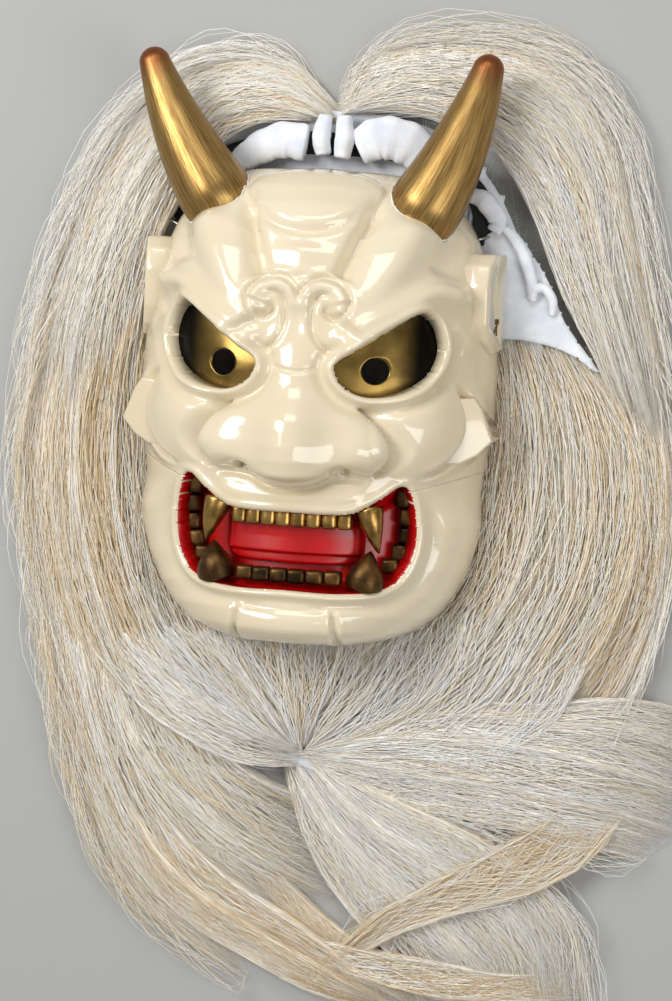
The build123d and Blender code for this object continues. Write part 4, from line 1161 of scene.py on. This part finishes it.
CAP_HALF = [(0.0, 133.0), (40.0, 128.0), (66.0, 110.0), (83.0, 82.0), (95.0, 45.0), (98.0, 0.0), (94.0, -50.0),
            (78.0, -92.0), (44.0, -119.0), (0.0, -128.0)]
cotton_sheet("cap_sheet", plan(CAP_HALF + [(-x, y) for x, y in reversed(CAP_HALF[1:-1])]), CAP_TOP - 1.2, "cap_back",
             81, ripple=0.4, cell=3.0)
PANEL = [(62, 95), (74, 90), (83, 84), (92, 72), (99, 61), (106, 46), (122, 26), (111, 32), (100, 36), (87, 38),
         (75, 38), (68, 41), (62, 71)]
cotton_sheet("side_panel_sheet", plan(PANEL, 3), CAP_TOP + 0.6, "side_panel", 82, ripple=1.3, cell=1.2)
cotton_sheet("bib_sheet", plan([(-70, -112), (-30, -116), (20, -116), (70, -112), (98, -116), (102, -136), (96, -156),
                                (60, -164), (10, -160), (-24, -150), (-60, -140), (-84, -128)], 3), RIM_Z - 8.6,
             "bib_cloth", 83, ripple=0.6, cell=2.2)
print("cloth done")


# %% [markdown]
# ## The wig's hair
#
# The wig is long bleached animal hair, sewn to the cap in rows and combed. A hairdresser thinks in
# locks, so each mass of hair is drawn as a few guide lines side by side, from root to tip. Hairs are
# laid between them in small clumps that close towards their tips. Geometry Nodes then turn the lines
# into thin closed tubes, and give each hair one of a few tones.

# %% The tree that turns lines into hairs
def hair_tree():
    """Lines with a radius and a tone at each point become closed tubes with a finish by tone."""
    tree = bpy.data.node_groups.new("hairs", "GeometryNodeTree")
    tree.interface.new_socket("Geometry", in_out="INPUT", socket_type="NodeSocketGeometry")
    sides = tree.interface.new_socket("Sides of a hair", in_out="INPUT", socket_type="NodeSocketInt")
    sides.default_value = 3
    tree.interface.new_socket("Geometry", in_out="OUTPUT", socket_type="NodeSocketGeometry")
    start = add_node(tree, "NodeGroupInput")
    lines = add_node(tree, "GeometryNodeMeshToCurve", links={"Mesh": start.outputs["Geometry"]})
    radius = add_node(tree, "GeometryNodeInputNamedAttribute", {"data_type": "FLOAT", "Name": "radius"})
    thick = add_node(tree, "GeometryNodeSetCurveRadius", links={
        "Curve": lines.outputs["Curve"], "Radius": radius.outputs["Attribute"]})
    ring = add_node(tree, "GeometryNodeCurvePrimitiveCircle", {"Radius": 1.0},
                    {"Resolution": start.outputs["Sides of a hair"]})
    tubes = add_node(tree, "GeometryNodeCurveToMesh", {"Fill Caps": True}, {
        "Curve": thick.outputs["Curve"], "Profile Curve": ring.outputs["Curve"]})
    if "Scale" in tubes.inputs.keys():
        tree.links.new(radius.outputs["Attribute"], tubes.inputs["Scale"])
    tone = add_node(tree, "GeometryNodeInputNamedAttribute", {"data_type": "FLOAT", "Name": "tone"})
    real = add_node(tree, "GeometryNodeRealizeInstances", links={"Geometry": tubes.outputs["Mesh"]})
    flow = real.outputs["Geometry"]
    for number, finish in enumerate(hair_finishes):
        chosen = add_node(tree, "FunctionNodeCompare", {"data_type": "FLOAT", "operation": "EQUAL"})
        tree.links.new(tone.outputs["Attribute"], chosen.inputs[0])
        chosen.inputs[1].default_value = float(number)
        chosen.inputs["Epsilon"].default_value = 0.3
        paint = add_node(tree, "GeometryNodeSetMaterial", {"Material": finish},
                         {"Geometry": flow, "Selection": chosen.outputs["Result"]})
        flow = paint.outputs["Geometry"]
    add_node(tree, "NodeGroupOutput", links={"Geometry": flow})
    return tree


HAIRS = hair_tree()
POINTS = 8  # along a hair


def hairs_object(name, lines, radii, tones):
    """A plain mesh of closed hairs. lines is hairs by points by 3, in millimetres."""
    count, points = lines.shape[:2]
    mesh = bpy.data.meshes.new(name)
    mesh.vertices.add(count * points)
    mesh.vertices.foreach_set("co", (lines * MM).astype(np.float32).ravel())
    first = (np.arange(count)[:, None] * points + np.arange(points - 1)[None, :]).ravel()
    mesh.edges.add(len(first))
    mesh.edges.foreach_set("vertices", np.stack([first, first + 1], -1).astype(np.int32).ravel())
    mesh.attributes.new("radius", "FLOAT", "POINT").data.foreach_set("value", (radii * MM).astype(np.float32).ravel())
    tone = np.repeat(tones[:, None], points, 1).astype(np.float32).ravel()
    mesh.attributes.new("tone", "FLOAT", "POINT").data.foreach_set("value", tone)
    obj = bpy.data.objects.new(name, mesh)
    bpy.context.scene.collection.objects.link(obj)
    modifier = obj.modifiers.new("hairs", "NODES")
    modifier.node_group = HAIRS
    bake(obj)
    return obj


# %% Combing hairs between guides
def guide_table(guides, steps=6):
    """Guides as an array of evenly spaced points: guide by place by 3."""
    table = []
    for guide in guides:
        line = smooth_line(guide, steps)
        line = np.vstack([2 * line[0] - line[3], line, 2 * line[-1] - line[-4]])
        line[0, 2], line[-1, 2] = 0.4 * line[1, 2], 0.5 * line[-2, 2]
        run = np.concatenate([[0], np.cumsum(np.linalg.norm(np.diff(line, axis=0), axis=1))])
        even = np.linspace(0, run[-1], 37)
        table.append(np.stack([np.interp(even, run, line[:, k]) for k in range(3)], -1))
    return np.array(table)


def sample(table, across, along):
    """The place at a share across the guides and a share along them."""
    rows, cols = table.shape[:2]
    g = np.clip(across, 0, 1) * (rows - 1)
    t = np.clip(along, 0, 1) * (cols - 1)
    g0, t0 = np.minimum(g.astype(int), rows - 2), np.minimum(t.astype(int), cols - 2)
    fg, ft = (g - g0)[..., None], (t - t0)[..., None]
    fg = fg * fg * (3 - 2 * fg)
    near = table[g0, t0] * (1 - ft) + table[g0, t0 + 1] * ft
    far = table[g0 + 1, t0] * (1 - ft) + table[g0 + 1, t0 + 1] * ft
    return near * (1 - fg) + far * fg


def comb(name, node, guides, count, clumps, seed, tones, length=(0.55, 1.0), thickness=0.21, wave=1.2,
         depth=0.85, wisps=0.06, spread=3.0, lift=0.0):
    """Lays hairs between guides and makes them stand for a CAD node.

    tones gives each tone's share, depth how far down the hairs fill below the guides, and wisps the
    share of hairs that stray.
    """
    rng = np.random.default_rng(seed)
    table = guide_table(guides)
    clump_across = rng.uniform(0, 1, clumps)
    clump_start = rng.uniform(0, 1, clumps) ** 1.3
    clump_tone = rng.choice(len(tones), clumps, p=np.array(tones) / sum(tones))
    clump_height = 1 - depth * rng.uniform(0, 1, clumps) ** 1.4
    pick = rng.integers(0, clumps, count)
    span_share = rng.uniform(*length, count)
    start = clump_start[pick] * (1 - span_share) + rng.normal(0, 0.05, count)
    start = np.clip(start, 0, 1 - span_share)
    k = np.linspace(0, 1, POINTS)[None, :]
    along = start[:, None] + span_share[:, None] * k
    offset = rng.normal(0, 1, (count, 2))
    width = np.linalg.norm(table[-1] - table[0], axis=-1).mean()
    close = 1 - 0.55 * k
    across = clump_across[pick][:, None] + offset[:, :1] * (spread / width) * close
    drift = rng.normal(0, 0.035, clumps)[pick][:, None] * (k - 0.5)
    phase = rng.uniform(0, 2 * math.pi, (count, 3))
    stray = rng.uniform(0, 1, count) < wisps
    amount = np.where(stray, 3.2, 1.0)[:, None]
    ripple = np.sin(phase[:, :1] + k * rng.uniform(3, 9, (count, 1))) * (wave / width) * amount
    lines = sample(table, across + drift + ripple, along)
    floor_level = 0.6
    top = lines[..., 2] + lift
    share = np.clip(clump_height[pick][:, None] + offset[:, 1:] * 0.07, 0.03, 1.05)
    bob = np.sin(phase[:, 1:2] + k * 5) * 0.5 + np.where(stray, 2.0, 0.0)[:, None] * np.sin(k * math.pi)
    lines[..., 2] = np.maximum(top * share + bob, floor_level)
    sideways = np.sin(phase[:, 2:3] + k * 7.0)[..., None] * rng.normal(0, 0.3, (count, 1, 3)) * amount[..., None]
    sideways[..., 2] *= 0.3
    lines = lines + sideways
    lines[..., 2] = np.maximum(lines[..., 2], floor_level)
    fade = np.minimum(1, np.minimum((k + 0.04) * 7, (1.03 - k) * 3.2))
    radii = thickness * rng.uniform(0.8, 1.15, (count, 1)) * fade * np.where(stray, 0.62, 1.0)[:, None]
    tone = np.where(rng.uniform(0, 1, count) < 0.72, clump_tone[pick],
                    rng.choice(len(tones), count, p=np.array(tones) / sum(tones)))
    obj = hairs_object(name, lines, radii, tone)
    finish_piece(obj, "white_hair", *([node] if node else []))
    hair_bed(name + "_bed", table)
    print(name, count, "hairs,", len(obj.data.polygons), "faces")
    return obj


def hair_bed(name, table):
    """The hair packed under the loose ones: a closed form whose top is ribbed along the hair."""
    rows, cols = 60, 34
    across, along = np.meshgrid(np.linspace(0, 1, rows), np.linspace(0, 1, cols), indexing="ij")
    narrow = 1 - 0.75 * smoothstep(along, 0.66, 1.0) - 0.25 * smoothstep(-along, -0.12, 0.0)
    place = sample(table, 0.5 + (across - 0.5) * narrow * 0.94, 0.04 + 0.86 * along)
    rib = 0.7 * np.sin(across * 61 + 2.1 * np.sin(along * 5)) + 0.5 * np.sin(across * 113 + 3.0 * np.sin(along * 4))
    edge = np.minimum(1, 9 * np.minimum(across, 1 - across) + 0.02)
    edge = edge * np.minimum(1, 7 * np.minimum(along, 1 - along) + 0.02)
    top = np.maximum(place[..., 2] * 0.82 - 1.5 + rib, 0.8) * edge + 0.5
    upper = np.stack([place[..., 0], place[..., 1], top], -1)
    lower = np.stack([place[..., 0], place[..., 1], np.full(top.shape, 0.3)], -1)
    keep = np.ones((rows - 1, cols - 1), bool)
    points, faces, _ = shell(place[..., 0], place[..., 1], upper, lower, keep, lambda a, b: 0)
    obj = mesh_object(name, points, faces, [packed_hair])
    layer = obj.data.uv_layers.new(name="combed")
    width = np.linalg.norm(table[-1] - table[0], axis=-1).mean()
    reach = np.linalg.norm(np.diff(table, axis=1), axis=-1).sum(1).mean()
    uv = np.stack([across.ravel() * width, along.ravel() * reach], -1) / 10.0
    loops = np.empty(len(obj.data.loops), np.int32)
    obj.data.loops.foreach_get("vertex_index", loops)
    layer.data.foreach_set("uv", uv[loops % (rows * cols)].astype(np.float32).ravel())
    bm = bmesh.new()
    bm.from_mesh(obj.data)
    bmesh.ops.recalc_face_normals(bm, faces=bm.faces)
    bm.to_mesh(obj.data)
    bm.free()
    finish_piece(obj, "white_hair")


# %% Stray hairs that stand off the edge of a mass
def stray_hairs(name, guides, count, reach, seed, tones, start=(0.0, 0.8), span_share=(0.12, 0.4)):
    """Fine hairs that leave the outer edge of a mass in loose arcs, up to reach millimetres away."""
    rng = np.random.default_rng(seed)
    table = guide_table(guides)
    k = np.linspace(0, 1, POINTS)[None, :]
    begin = rng.uniform(*start, count)[:, None]
    length = rng.uniform(*span_share, count)[:, None]
    along = np.clip(begin + length * k, 0, 1)
    edge = sample(table, np.full(along.shape, 1.0), along)
    inner = sample(table, np.full(along.shape, 0.8), along)
    out_way = edge - inner
    out_way[..., 2] = 0
    out_way /= np.maximum(np.linalg.norm(out_way, axis=-1, keepdims=True), 1e-9)
    far = rng.uniform(0.15, 1.0, (count, 1)) ** 1.6 * reach
    arc = np.sin(math.pi * k * rng.uniform(0.55, 1.05, (count, 1))) * far - rng.uniform(0, 5, (count, 1))
    curl = np.sin(k * rng.uniform(2, 9, (count, 1)) + rng.uniform(0, 6.28, (count, 1)))
    curl = curl * rng.uniform(0.2, 2.2, (count, 1))
    lines = edge + out_way * (arc + curl)[..., None]
    lines[..., 2] = np.clip(3 + rng.uniform(0, 12, (count, 1)) * np.sin(math.pi * k) + curl * 0.5, 0.4, 22)
    radii = 0.13 * rng.uniform(0.8, 1.2, (count, 1)) * np.minimum(1, (1.05 - k) * 4)
    tone = rng.choice(len(tones), count, p=np.array(tones) / sum(tones))
    return finish_piece(hairs_object(name, lines, radii, tone), "white_hair")


# %% Guides of each mass of hair, root to tip
# Each guide is the line of one lock: its places in millimetres, with the height of the hair there.
# Shares of the tones: warm white, grey white, ivory, straw, gold, pure white.
WHITE = (34, 26, 16, 5, 1, 18)
CREAM = (24, 12, 28, 20, 11, 5)
GOLD = (14, 6, 28, 34, 16, 2)

CROWN_LEFT = [
    [(29, 134, 14), (50, 131, 16), (70, 121, 17), (85, 102, 18), (96, 79, 18), (105, 58, 17), (118, 36, 16),
     (130, 13, 15)],
    [(7, 133, 16), (24, 138, 20), (46, 138, 22), (70, 132, 23), (90, 116, 22), (104, 93, 22), (114, 67, 20),
     (125, 38, 19), (136, 11, 18)],
    [(5, 133, 17), (16, 142, 20), (34, 148, 23), (58, 149, 24), (82, 141, 24), (103, 124, 23), (115, 100, 22),
     (123, 70, 21), (135, 37, 20), (144, 9, 18)],
    [(2, 133, 12), (8, 146, 14), (25, 156, 15), (49, 159, 16), (76, 156, 16), (100, 145, 15), (118, 123, 14),
     (127, 96, 14), (136, 63, 13), (146, 29, 12), (151, 3, 12)],
    [(-1, 135, 6), (2, 150, 5), (21, 163, 4), (47, 167, 4), (78, 165, 3), (105, 153, 3), (124, 129, 3),
     (133, 101, 3), (142, 63, 3), (151, 29, 3), (157, -1, 3)],
]
CROWN_RIGHT = [
    [(-15, 128, 15), (-32, 128, 17), (-46, 123, 19), (-56, 111, 20), (-65, 95, 20), (-73, 79, 19),
     (-79, 59, 18), (-82, 37, 17), (-85, 10, 16)],
    [(-7, 130, 17), (-24, 135, 20), (-41, 134, 22), (-55, 126, 22), (-67, 109, 23), (-79, 87, 22),
     (-88, 63, 21), (-95, 36, 20), (-98, 5, 19)],
    [(-4, 132, 17), (-21, 141, 20), (-42, 142, 22), (-59, 133, 22), (-76, 115, 22), (-91, 89, 21),
     (-102, 61, 20), (-110, 31, 19), (-113, -1, 18)],
    [(-4, 135, 8), (-22, 148, 8), (-46, 150, 9), (-67, 142, 8), (-88, 122, 8), (-104, 95, 8), (-114, 66, 8),
     (-123, 33, 8), (-127, -2, 8)],
    [(-3, 137, 5), (-23, 154, 4), (-49, 156, 3), (-72, 148, 3), (-95, 127, 3), (-112, 98, 3), (-123, 66, 3),
     (-132, 33, 3), (-136, -5, 3)],
]
SIDE_LEFT = [
    [(69, 38, 13), (75, 11, 14), (74, -20, 15), (69, -51, 16), (60, -76, 16), (46, -99, 16), (29, -118, 15)],
    [(87, 37, 13), (96, 13, 18), (100, -22, 21), (96, -55, 22), (85, -84, 21), (68, -108, 19), (47, -127, 18)],
    [(105, 32, 13), (117, 10, 18), (124, -20, 20), (122, -55, 21), (111, -87, 20), (95, -112, 18),
     (69, -133, 16)],
    [(121, 26, 12), (135, 6, 14), (142, -19, 15), (142, -54, 16), (132, -90, 15), (116, -118, 13),
     (93, -136, 12)],
    [(133, 36, 8), (147, 11, 8), (154, -19, 8), (155, -58, 8), (147, -94, 7), (134, -124, 7), (115, -141, 6)],
    [(136, 41, 3), (150, 16, 3), (159, -19, 3), (159, -58, 3), (152, -96, 3), (140, -126, 3), (128, -145, 3)],
]
SIDE_RIGHT = [
    [(-72, 46, 14), (-75, 15, 15), (-72, -21, 15), (-65, -56, 16), (-53, -87, 16), (-38, -110, 16),
     (-18, -127, 15)],
    [(-85, 45, 18), (-90, 14, 20), (-91, -22, 21), (-85, -57, 22), (-73, -92, 21), (-56, -120, 19),
     (-35, -144, 17)],
    [(-99, 44, 16), (-106, 13, 17), (-108, -23, 18), (-103, -59, 19), (-92, -94, 18), (-75, -129, 16),
     (-54, -155, 14)],
    [(-112, 44, 10), (-119, 12, 11), (-122, -24, 11), (-118, -60, 11), (-109, -96, 10), (-94, -131, 10),
     (-78, -165, 9)],
    [(-122, 43, 3), (-131, 11, 3), (-136, -26, 3), (-133, -62, 3), (-123, -98, 3), (-109, -134, 3),
     (-95, -169, 3)],
]
BIB = [
    [(-95, -115, 14), (-73, -136, 16), (-46, -151, 17), (-23, -158, 16), (-5, -158, 15)],
    [(-84, -102, 18), (-62, -123, 20), (-38, -136, 21), (-18, -145, 20), (-4, -150, 18)],
    [(-63, -99, 20), (-45, -116, 22), (-27, -131, 22), (-13, -142, 21), (-3, -149, 18)],
    [(-38, -101, 19), (-28, -114, 21), (-17, -128, 22), (-8, -140, 21), (-1, -148, 18)],
    [(-11, -101, 19), (-8, -113, 21), (-4, -126, 22), (-1, -137, 21), (1, -148, 18)],
    [(16, -100, 19), (15, -111, 21), (11, -124, 22), (6, -137, 21), (3, -147, 18)],
    [(43, -94, 19), (37, -109, 21), (28, -124, 22), (16, -138, 21), (5, -148, 18)],
    [(73, -81, 20), (67, -101, 22), (54, -122, 22), (32, -138, 21), (6, -148, 18)],
    [(103, -70, 18), (98, -96, 20), (84, -122, 20), (55, -142, 19), (8, -150, 17)],
    [(129, -81, 13), (123, -108, 16), (107, -134, 17), (68, -150, 16), (9, -153, 15)],
]
SWEEP_LEFT = [
    [(44, -105, 20), (62, -117, 19), (89, -121, 18), (115, -119, 15), (140, -116, 12), (161, -118, 7)],
    [(19, -141, 20), (45, -130, 20), (76, -127, 19), (109, -128, 16), (141, -128, 13), (163, -133, 8)],
    [(8, -148, 19), (39, -140, 20), (72, -139, 19), (107, -141, 16), (140, -146, 13), (164, -153, 8)],
    [(5, -151, 17), (33, -153, 18), (64, -156, 17), (99, -159, 15), (135, -164, 11), (159, -171, 6)],
    [(2, -156, 11), (26, -165, 12), (55, -172, 12), (91, -176, 11), (122, -180, 8), (144, -185, 4)],
]
SWEEP_RIGHT = [
    [(-64, -88, 8), (-54, -123, 12), (-39, -149, 14), (-22, -163, 14), (-3, -171, 12)],
    [(-95, -86, 6), (-87, -126, 12), (-70, -158, 15), (-51, -177, 15), (-25, -196, 13), (3, -210, 9)],
    [(-109, -87, 6), (-99, -127, 12), (-85, -164, 14), (-70, -191, 13), (-50, -211, 11), (-20, -229, 7)],
    [(-121, -89, 4), (-111, -133, 6), (-97, -171, 8), (-82, -200, 8), (-62, -222, 6), (-33, -240, 4)],
    [(-128, -89, 3), (-117, -134, 3), (-104, -175, 3), (-89, -206, 3), (-68, -230, 3), (-37, -250, 3)],
]
TAIL_RIGHT = [
    [(-68, -175, 12), (-47, -198, 14), (-24, -215, 13), (2, -229, 11), (25, -245, 8), (43, -255, 6)],
    [(-78, -180, 12), (-59, -206, 14), (-33, -225, 13), (-5, -239, 12), (21, -252, 9), (38, -260, 6)],
    [(-90, -183, 5), (-71, -214, 7), (-45, -236, 7), (-16, -250, 7), (12, -262, 6), (33, -265, 4)],
]
TAIL_LEFT = [
    [(18, -238, 8), (41, -240, 9), (68, -242, 8), (95, -245, 5), (121, -243, 3)],
    [(18, -248, 7), (44, -254, 8), (71, -257, 7), (96, -256, 5), (120, -254, 3)],
]
CROSSING = [
    [(151, -154, 4), (137, -182, 8), (114, -201, 13), (82, -214, 14), (52, -227, 12), (24, -247, 6)],
    [(133, -151, 4), (111, -174, 8), (84, -191, 12), (60, -207, 13), (38, -222, 11), (20, -243, 5)],
]
FALL = [
    [(14, -156, 12), (44, -169, 14), (76, -180, 13), (105, -196, 11), (127, -218, 8), (133, -245, 4)],
    [(7, -158, 12), (31, -177, 14), (61, -194, 13), (90, -210, 11), (110, -231, 8), (116, -251, 4)],
    [(0, -159, 11), (18, -183, 13), (42, -205, 12), (67, -224, 10), (86, -241, 7), (91, -255, 4)],
    [(-7, -160, 8), (1, -185, 8), (16, -211, 8), (36, -232, 7), (52, -249, 5), (58, -260, 3)],
]
SLIP = [
    [(-30, -168, 5), (-22, -190, 6), (-5, -211, 6), (19, -230, 6), (45, -246, 5), (60, -259, 3)],
    [(-36, -173, 3), (-27, -198, 4), (-9, -221, 4), (15, -240, 4), (39, -256, 4), (50, -262, 3)],
]
UNDER = [
    [(0, -20, 5), (-70, -30, 6), (-99, -60, 6)],
    [(0, 0, 5), (-80, 10, 6), (-100, 20, 6)],
    [(0, 10, 5), (-60, 70, 6), (-86, 94, 6)],
    [(0, 20, 5), (-10, 90, 6), (-20, 132, 6)],
    [(0, 20, 5), (30, 90, 6), (50, 126, 6)],
    [(0, 10, 5), (70, 60, 6), (96, 60, 6)],
    [(0, 0, 5), (80, 0, 6), (102, -10, 6)],
    [(0, -20, 5), (60, -60, 6), (84, -88, 6)],
    [(0, -30, 5), (20, -90, 6), (30, -126, 6)],
    [(0, -30, 5), (-30, -90, 6), (-50, -118, 6)],
]

# %% Comb every mass
MIXED = (30, 18, 24, 12, 4, 12)
comb("combed_crown_left", "crown_hair_left", CROWN_LEFT, 3900, 420, 11, WHITE, wave=2.2, wisps=0.1)
comb("combed_crown_right", "crown_hair_right", CROWN_RIGHT, 3700, 400, 13, MIXED, wave=2.2, wisps=0.1)
comb("combed_side_left", "side_hair_left", SIDE_LEFT, 3700, 420, 14, CREAM, wave=2.2, wisps=0.1)
comb("combed_side_right", "side_hair_right", SIDE_RIGHT, 3700, 420, 15, CREAM, wave=2.2, wisps=0.1)
comb("combed_bib", "bib_hair", BIB, 3300, 420, 16, WHITE, depth=0.35, length=(0.4, 0.9), wave=1.6)
comb("sweep_hair_left", "outer_lock_left", SWEEP_LEFT, 3650, 380, 17, WHITE, wave=2.6, wisps=0.12)
comb("sweep_hair_right", "outer_lock_right", SWEEP_RIGHT, 2850, 300, 18, MIXED, wave=2.2, wisps=0.12)
comb("tail_hair_right", "lower_lock_right", TAIL_RIGHT, 1900, 120, 19, CREAM, wave=2.2, length=(0.5, 1.0), wisps=0.12)
comb("tail_hair_left", "lower_lock_left", TAIL_LEFT, 800, 70, 20, CREAM, wave=2.8, wisps=0.15)
comb("crossing_lock", None, CROSSING, 1300, 60, 21, GOLD, wave=3.0, length=(0.45, 1.0), wisps=0.2)
comb("falling_hair", None, FALL, 2400, 160, 22, WHITE, wave=2.8, wisps=0.15)
comb("slipped_hair", None, SLIP, 350, 40, 24, CREAM, wave=2.8, wisps=0.2)
comb("combed_back", "back_hair", UNDER, 1300, 500, 23, WHITE, depth=0.9, thickness=0.3)
stray_hairs("stray_crown_left", CROWN_LEFT, 260, 13, 51, WHITE, start=(0.05, 0.7))
stray_hairs("stray_crown_right", CROWN_RIGHT, 240, 12, 52, WHITE, start=(0.05, 0.75))
stray_hairs("stray_side_left", SIDE_LEFT, 160, 10, 53, WHITE)
stray_hairs("stray_side_right", SIDE_RIGHT, 220, 11, 54, CREAM)
stray_hairs("stray_sweep_left", SWEEP_LEFT, 200, 15, 55, WHITE)
stray_hairs("stray_sweep_right", SWEEP_RIGHT, 180, 11, 56, CREAM)
stray_hairs("stray_crossing", CROSSING, 80, 9, 57, GOLD)
stray_hairs("stray_falling", FALL[::-1], 160, 12, 58, WHITE)

# %% [markdown]
# ## Camera, light and floor
#
# The camera looks down on the mask a little from its left and from above the forehead, and is rolled
# a little. Three soft area lights and a pale floor stand for the studio.

# %% Camera, light and floor
scene = bpy.context.scene
VIEW_TILT = math.radians(9.5)
ROLL = math.radians(3.3)
VIEW_RISE = math.radians(5.0)
TARGET = Vector((10.7, -37.2, RIM_Z)) * MM
DISTANCE = 1.2
back = Vector((math.sin(VIEW_TILT) * math.cos(VIEW_RISE), math.sin(VIEW_RISE),
               math.cos(VIEW_TILT) * math.cos(VIEW_RISE)))
right = Vector((math.cos(VIEW_TILT), 0, -math.sin(VIEW_TILT)))
up = back.cross(right)
roll_up = up * math.cos(ROLL) - right * math.sin(ROLL)
roll_right = right * math.cos(ROLL) + up * math.sin(ROLL)
camera_data = bpy.data.cameras.new("camera")
camera = bpy.data.objects.new("camera", camera_data)
scene.collection.objects.link(camera)
camera.matrix_world = Matrix((
    (roll_right.x, roll_up.x, back.x, TARGET.x + back.x * DISTANCE),
    (roll_right.y, roll_up.y, back.y, TARGET.y + back.y * DISTANCE),
    (roll_right.z, roll_up.z, back.z, TARGET.z + back.z * DISTANCE),
    (0, 0, 0, 1)))
camera_data.sensor_width = 36.0
camera_data.lens = 36.0 * DISTANCE / 0.4404
scene.camera = camera

floor_mesh = bpy.data.meshes.new("floor")
floor_mesh.from_pydata([(-6, -6, 0), (6, -6, 0), (6, 6, 0), (-6, 6, 0)], [], [(0, 1, 2, 3)])
floor = bpy.data.objects.new("floor", floor_mesh)
scene.collection.objects.link(floor)
floor_finish, tree, shader = new_finish("studio_floor", {"Base Color": linear("a9a9a6"), "Roughness": 0.9})
floor_mesh.materials.append(floor_finish)
floor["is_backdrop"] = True


def lamp(name, place, aim, size, power, tint="ffffff"):
    """A soft area light."""
    data = bpy.data.lights.new(name, "AREA")
    data.shape = "RECTANGLE"
    data.size, data.size_y = size
    data.energy = power
    data.color = linear(tint)[:3]
    light = bpy.data.objects.new(name, data)
    light.location = place
    light.rotation_mode = "QUATERNION"
    light.rotation_quaternion = (Vector(aim) - Vector(place)).to_track_quat("-Z", "Y")
    scene.collection.objects.link(light)
    light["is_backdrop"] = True


lamp("key", (-0.75, 0.45, 1.1), (0, 0, 0.03), (0.5, 0.7), 12.5)
lamp("fill", (0.85, -0.25, 1.0), (0, 0, 0.03), (0.5, 0.8), 5.0)
lamp("top", (0.0, 0.9, 0.9), (0, 0, 0.03), (0.8, 0.35), 3.6)
world = bpy.data.worlds.new("studio")
world.use_nodes = True
world.node_tree.nodes["Background"].inputs["Color"].default_value = (1, 1, 1, 1)
world.node_tree.nodes["Background"].inputs["Strength"].default_value = 0.38
scene.world = world
scene.view_settings.view_transform = "Standard"

low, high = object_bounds()
{"cad": [list(cad_low), list(cad_high)], "visual": [list(low), list(high)]}
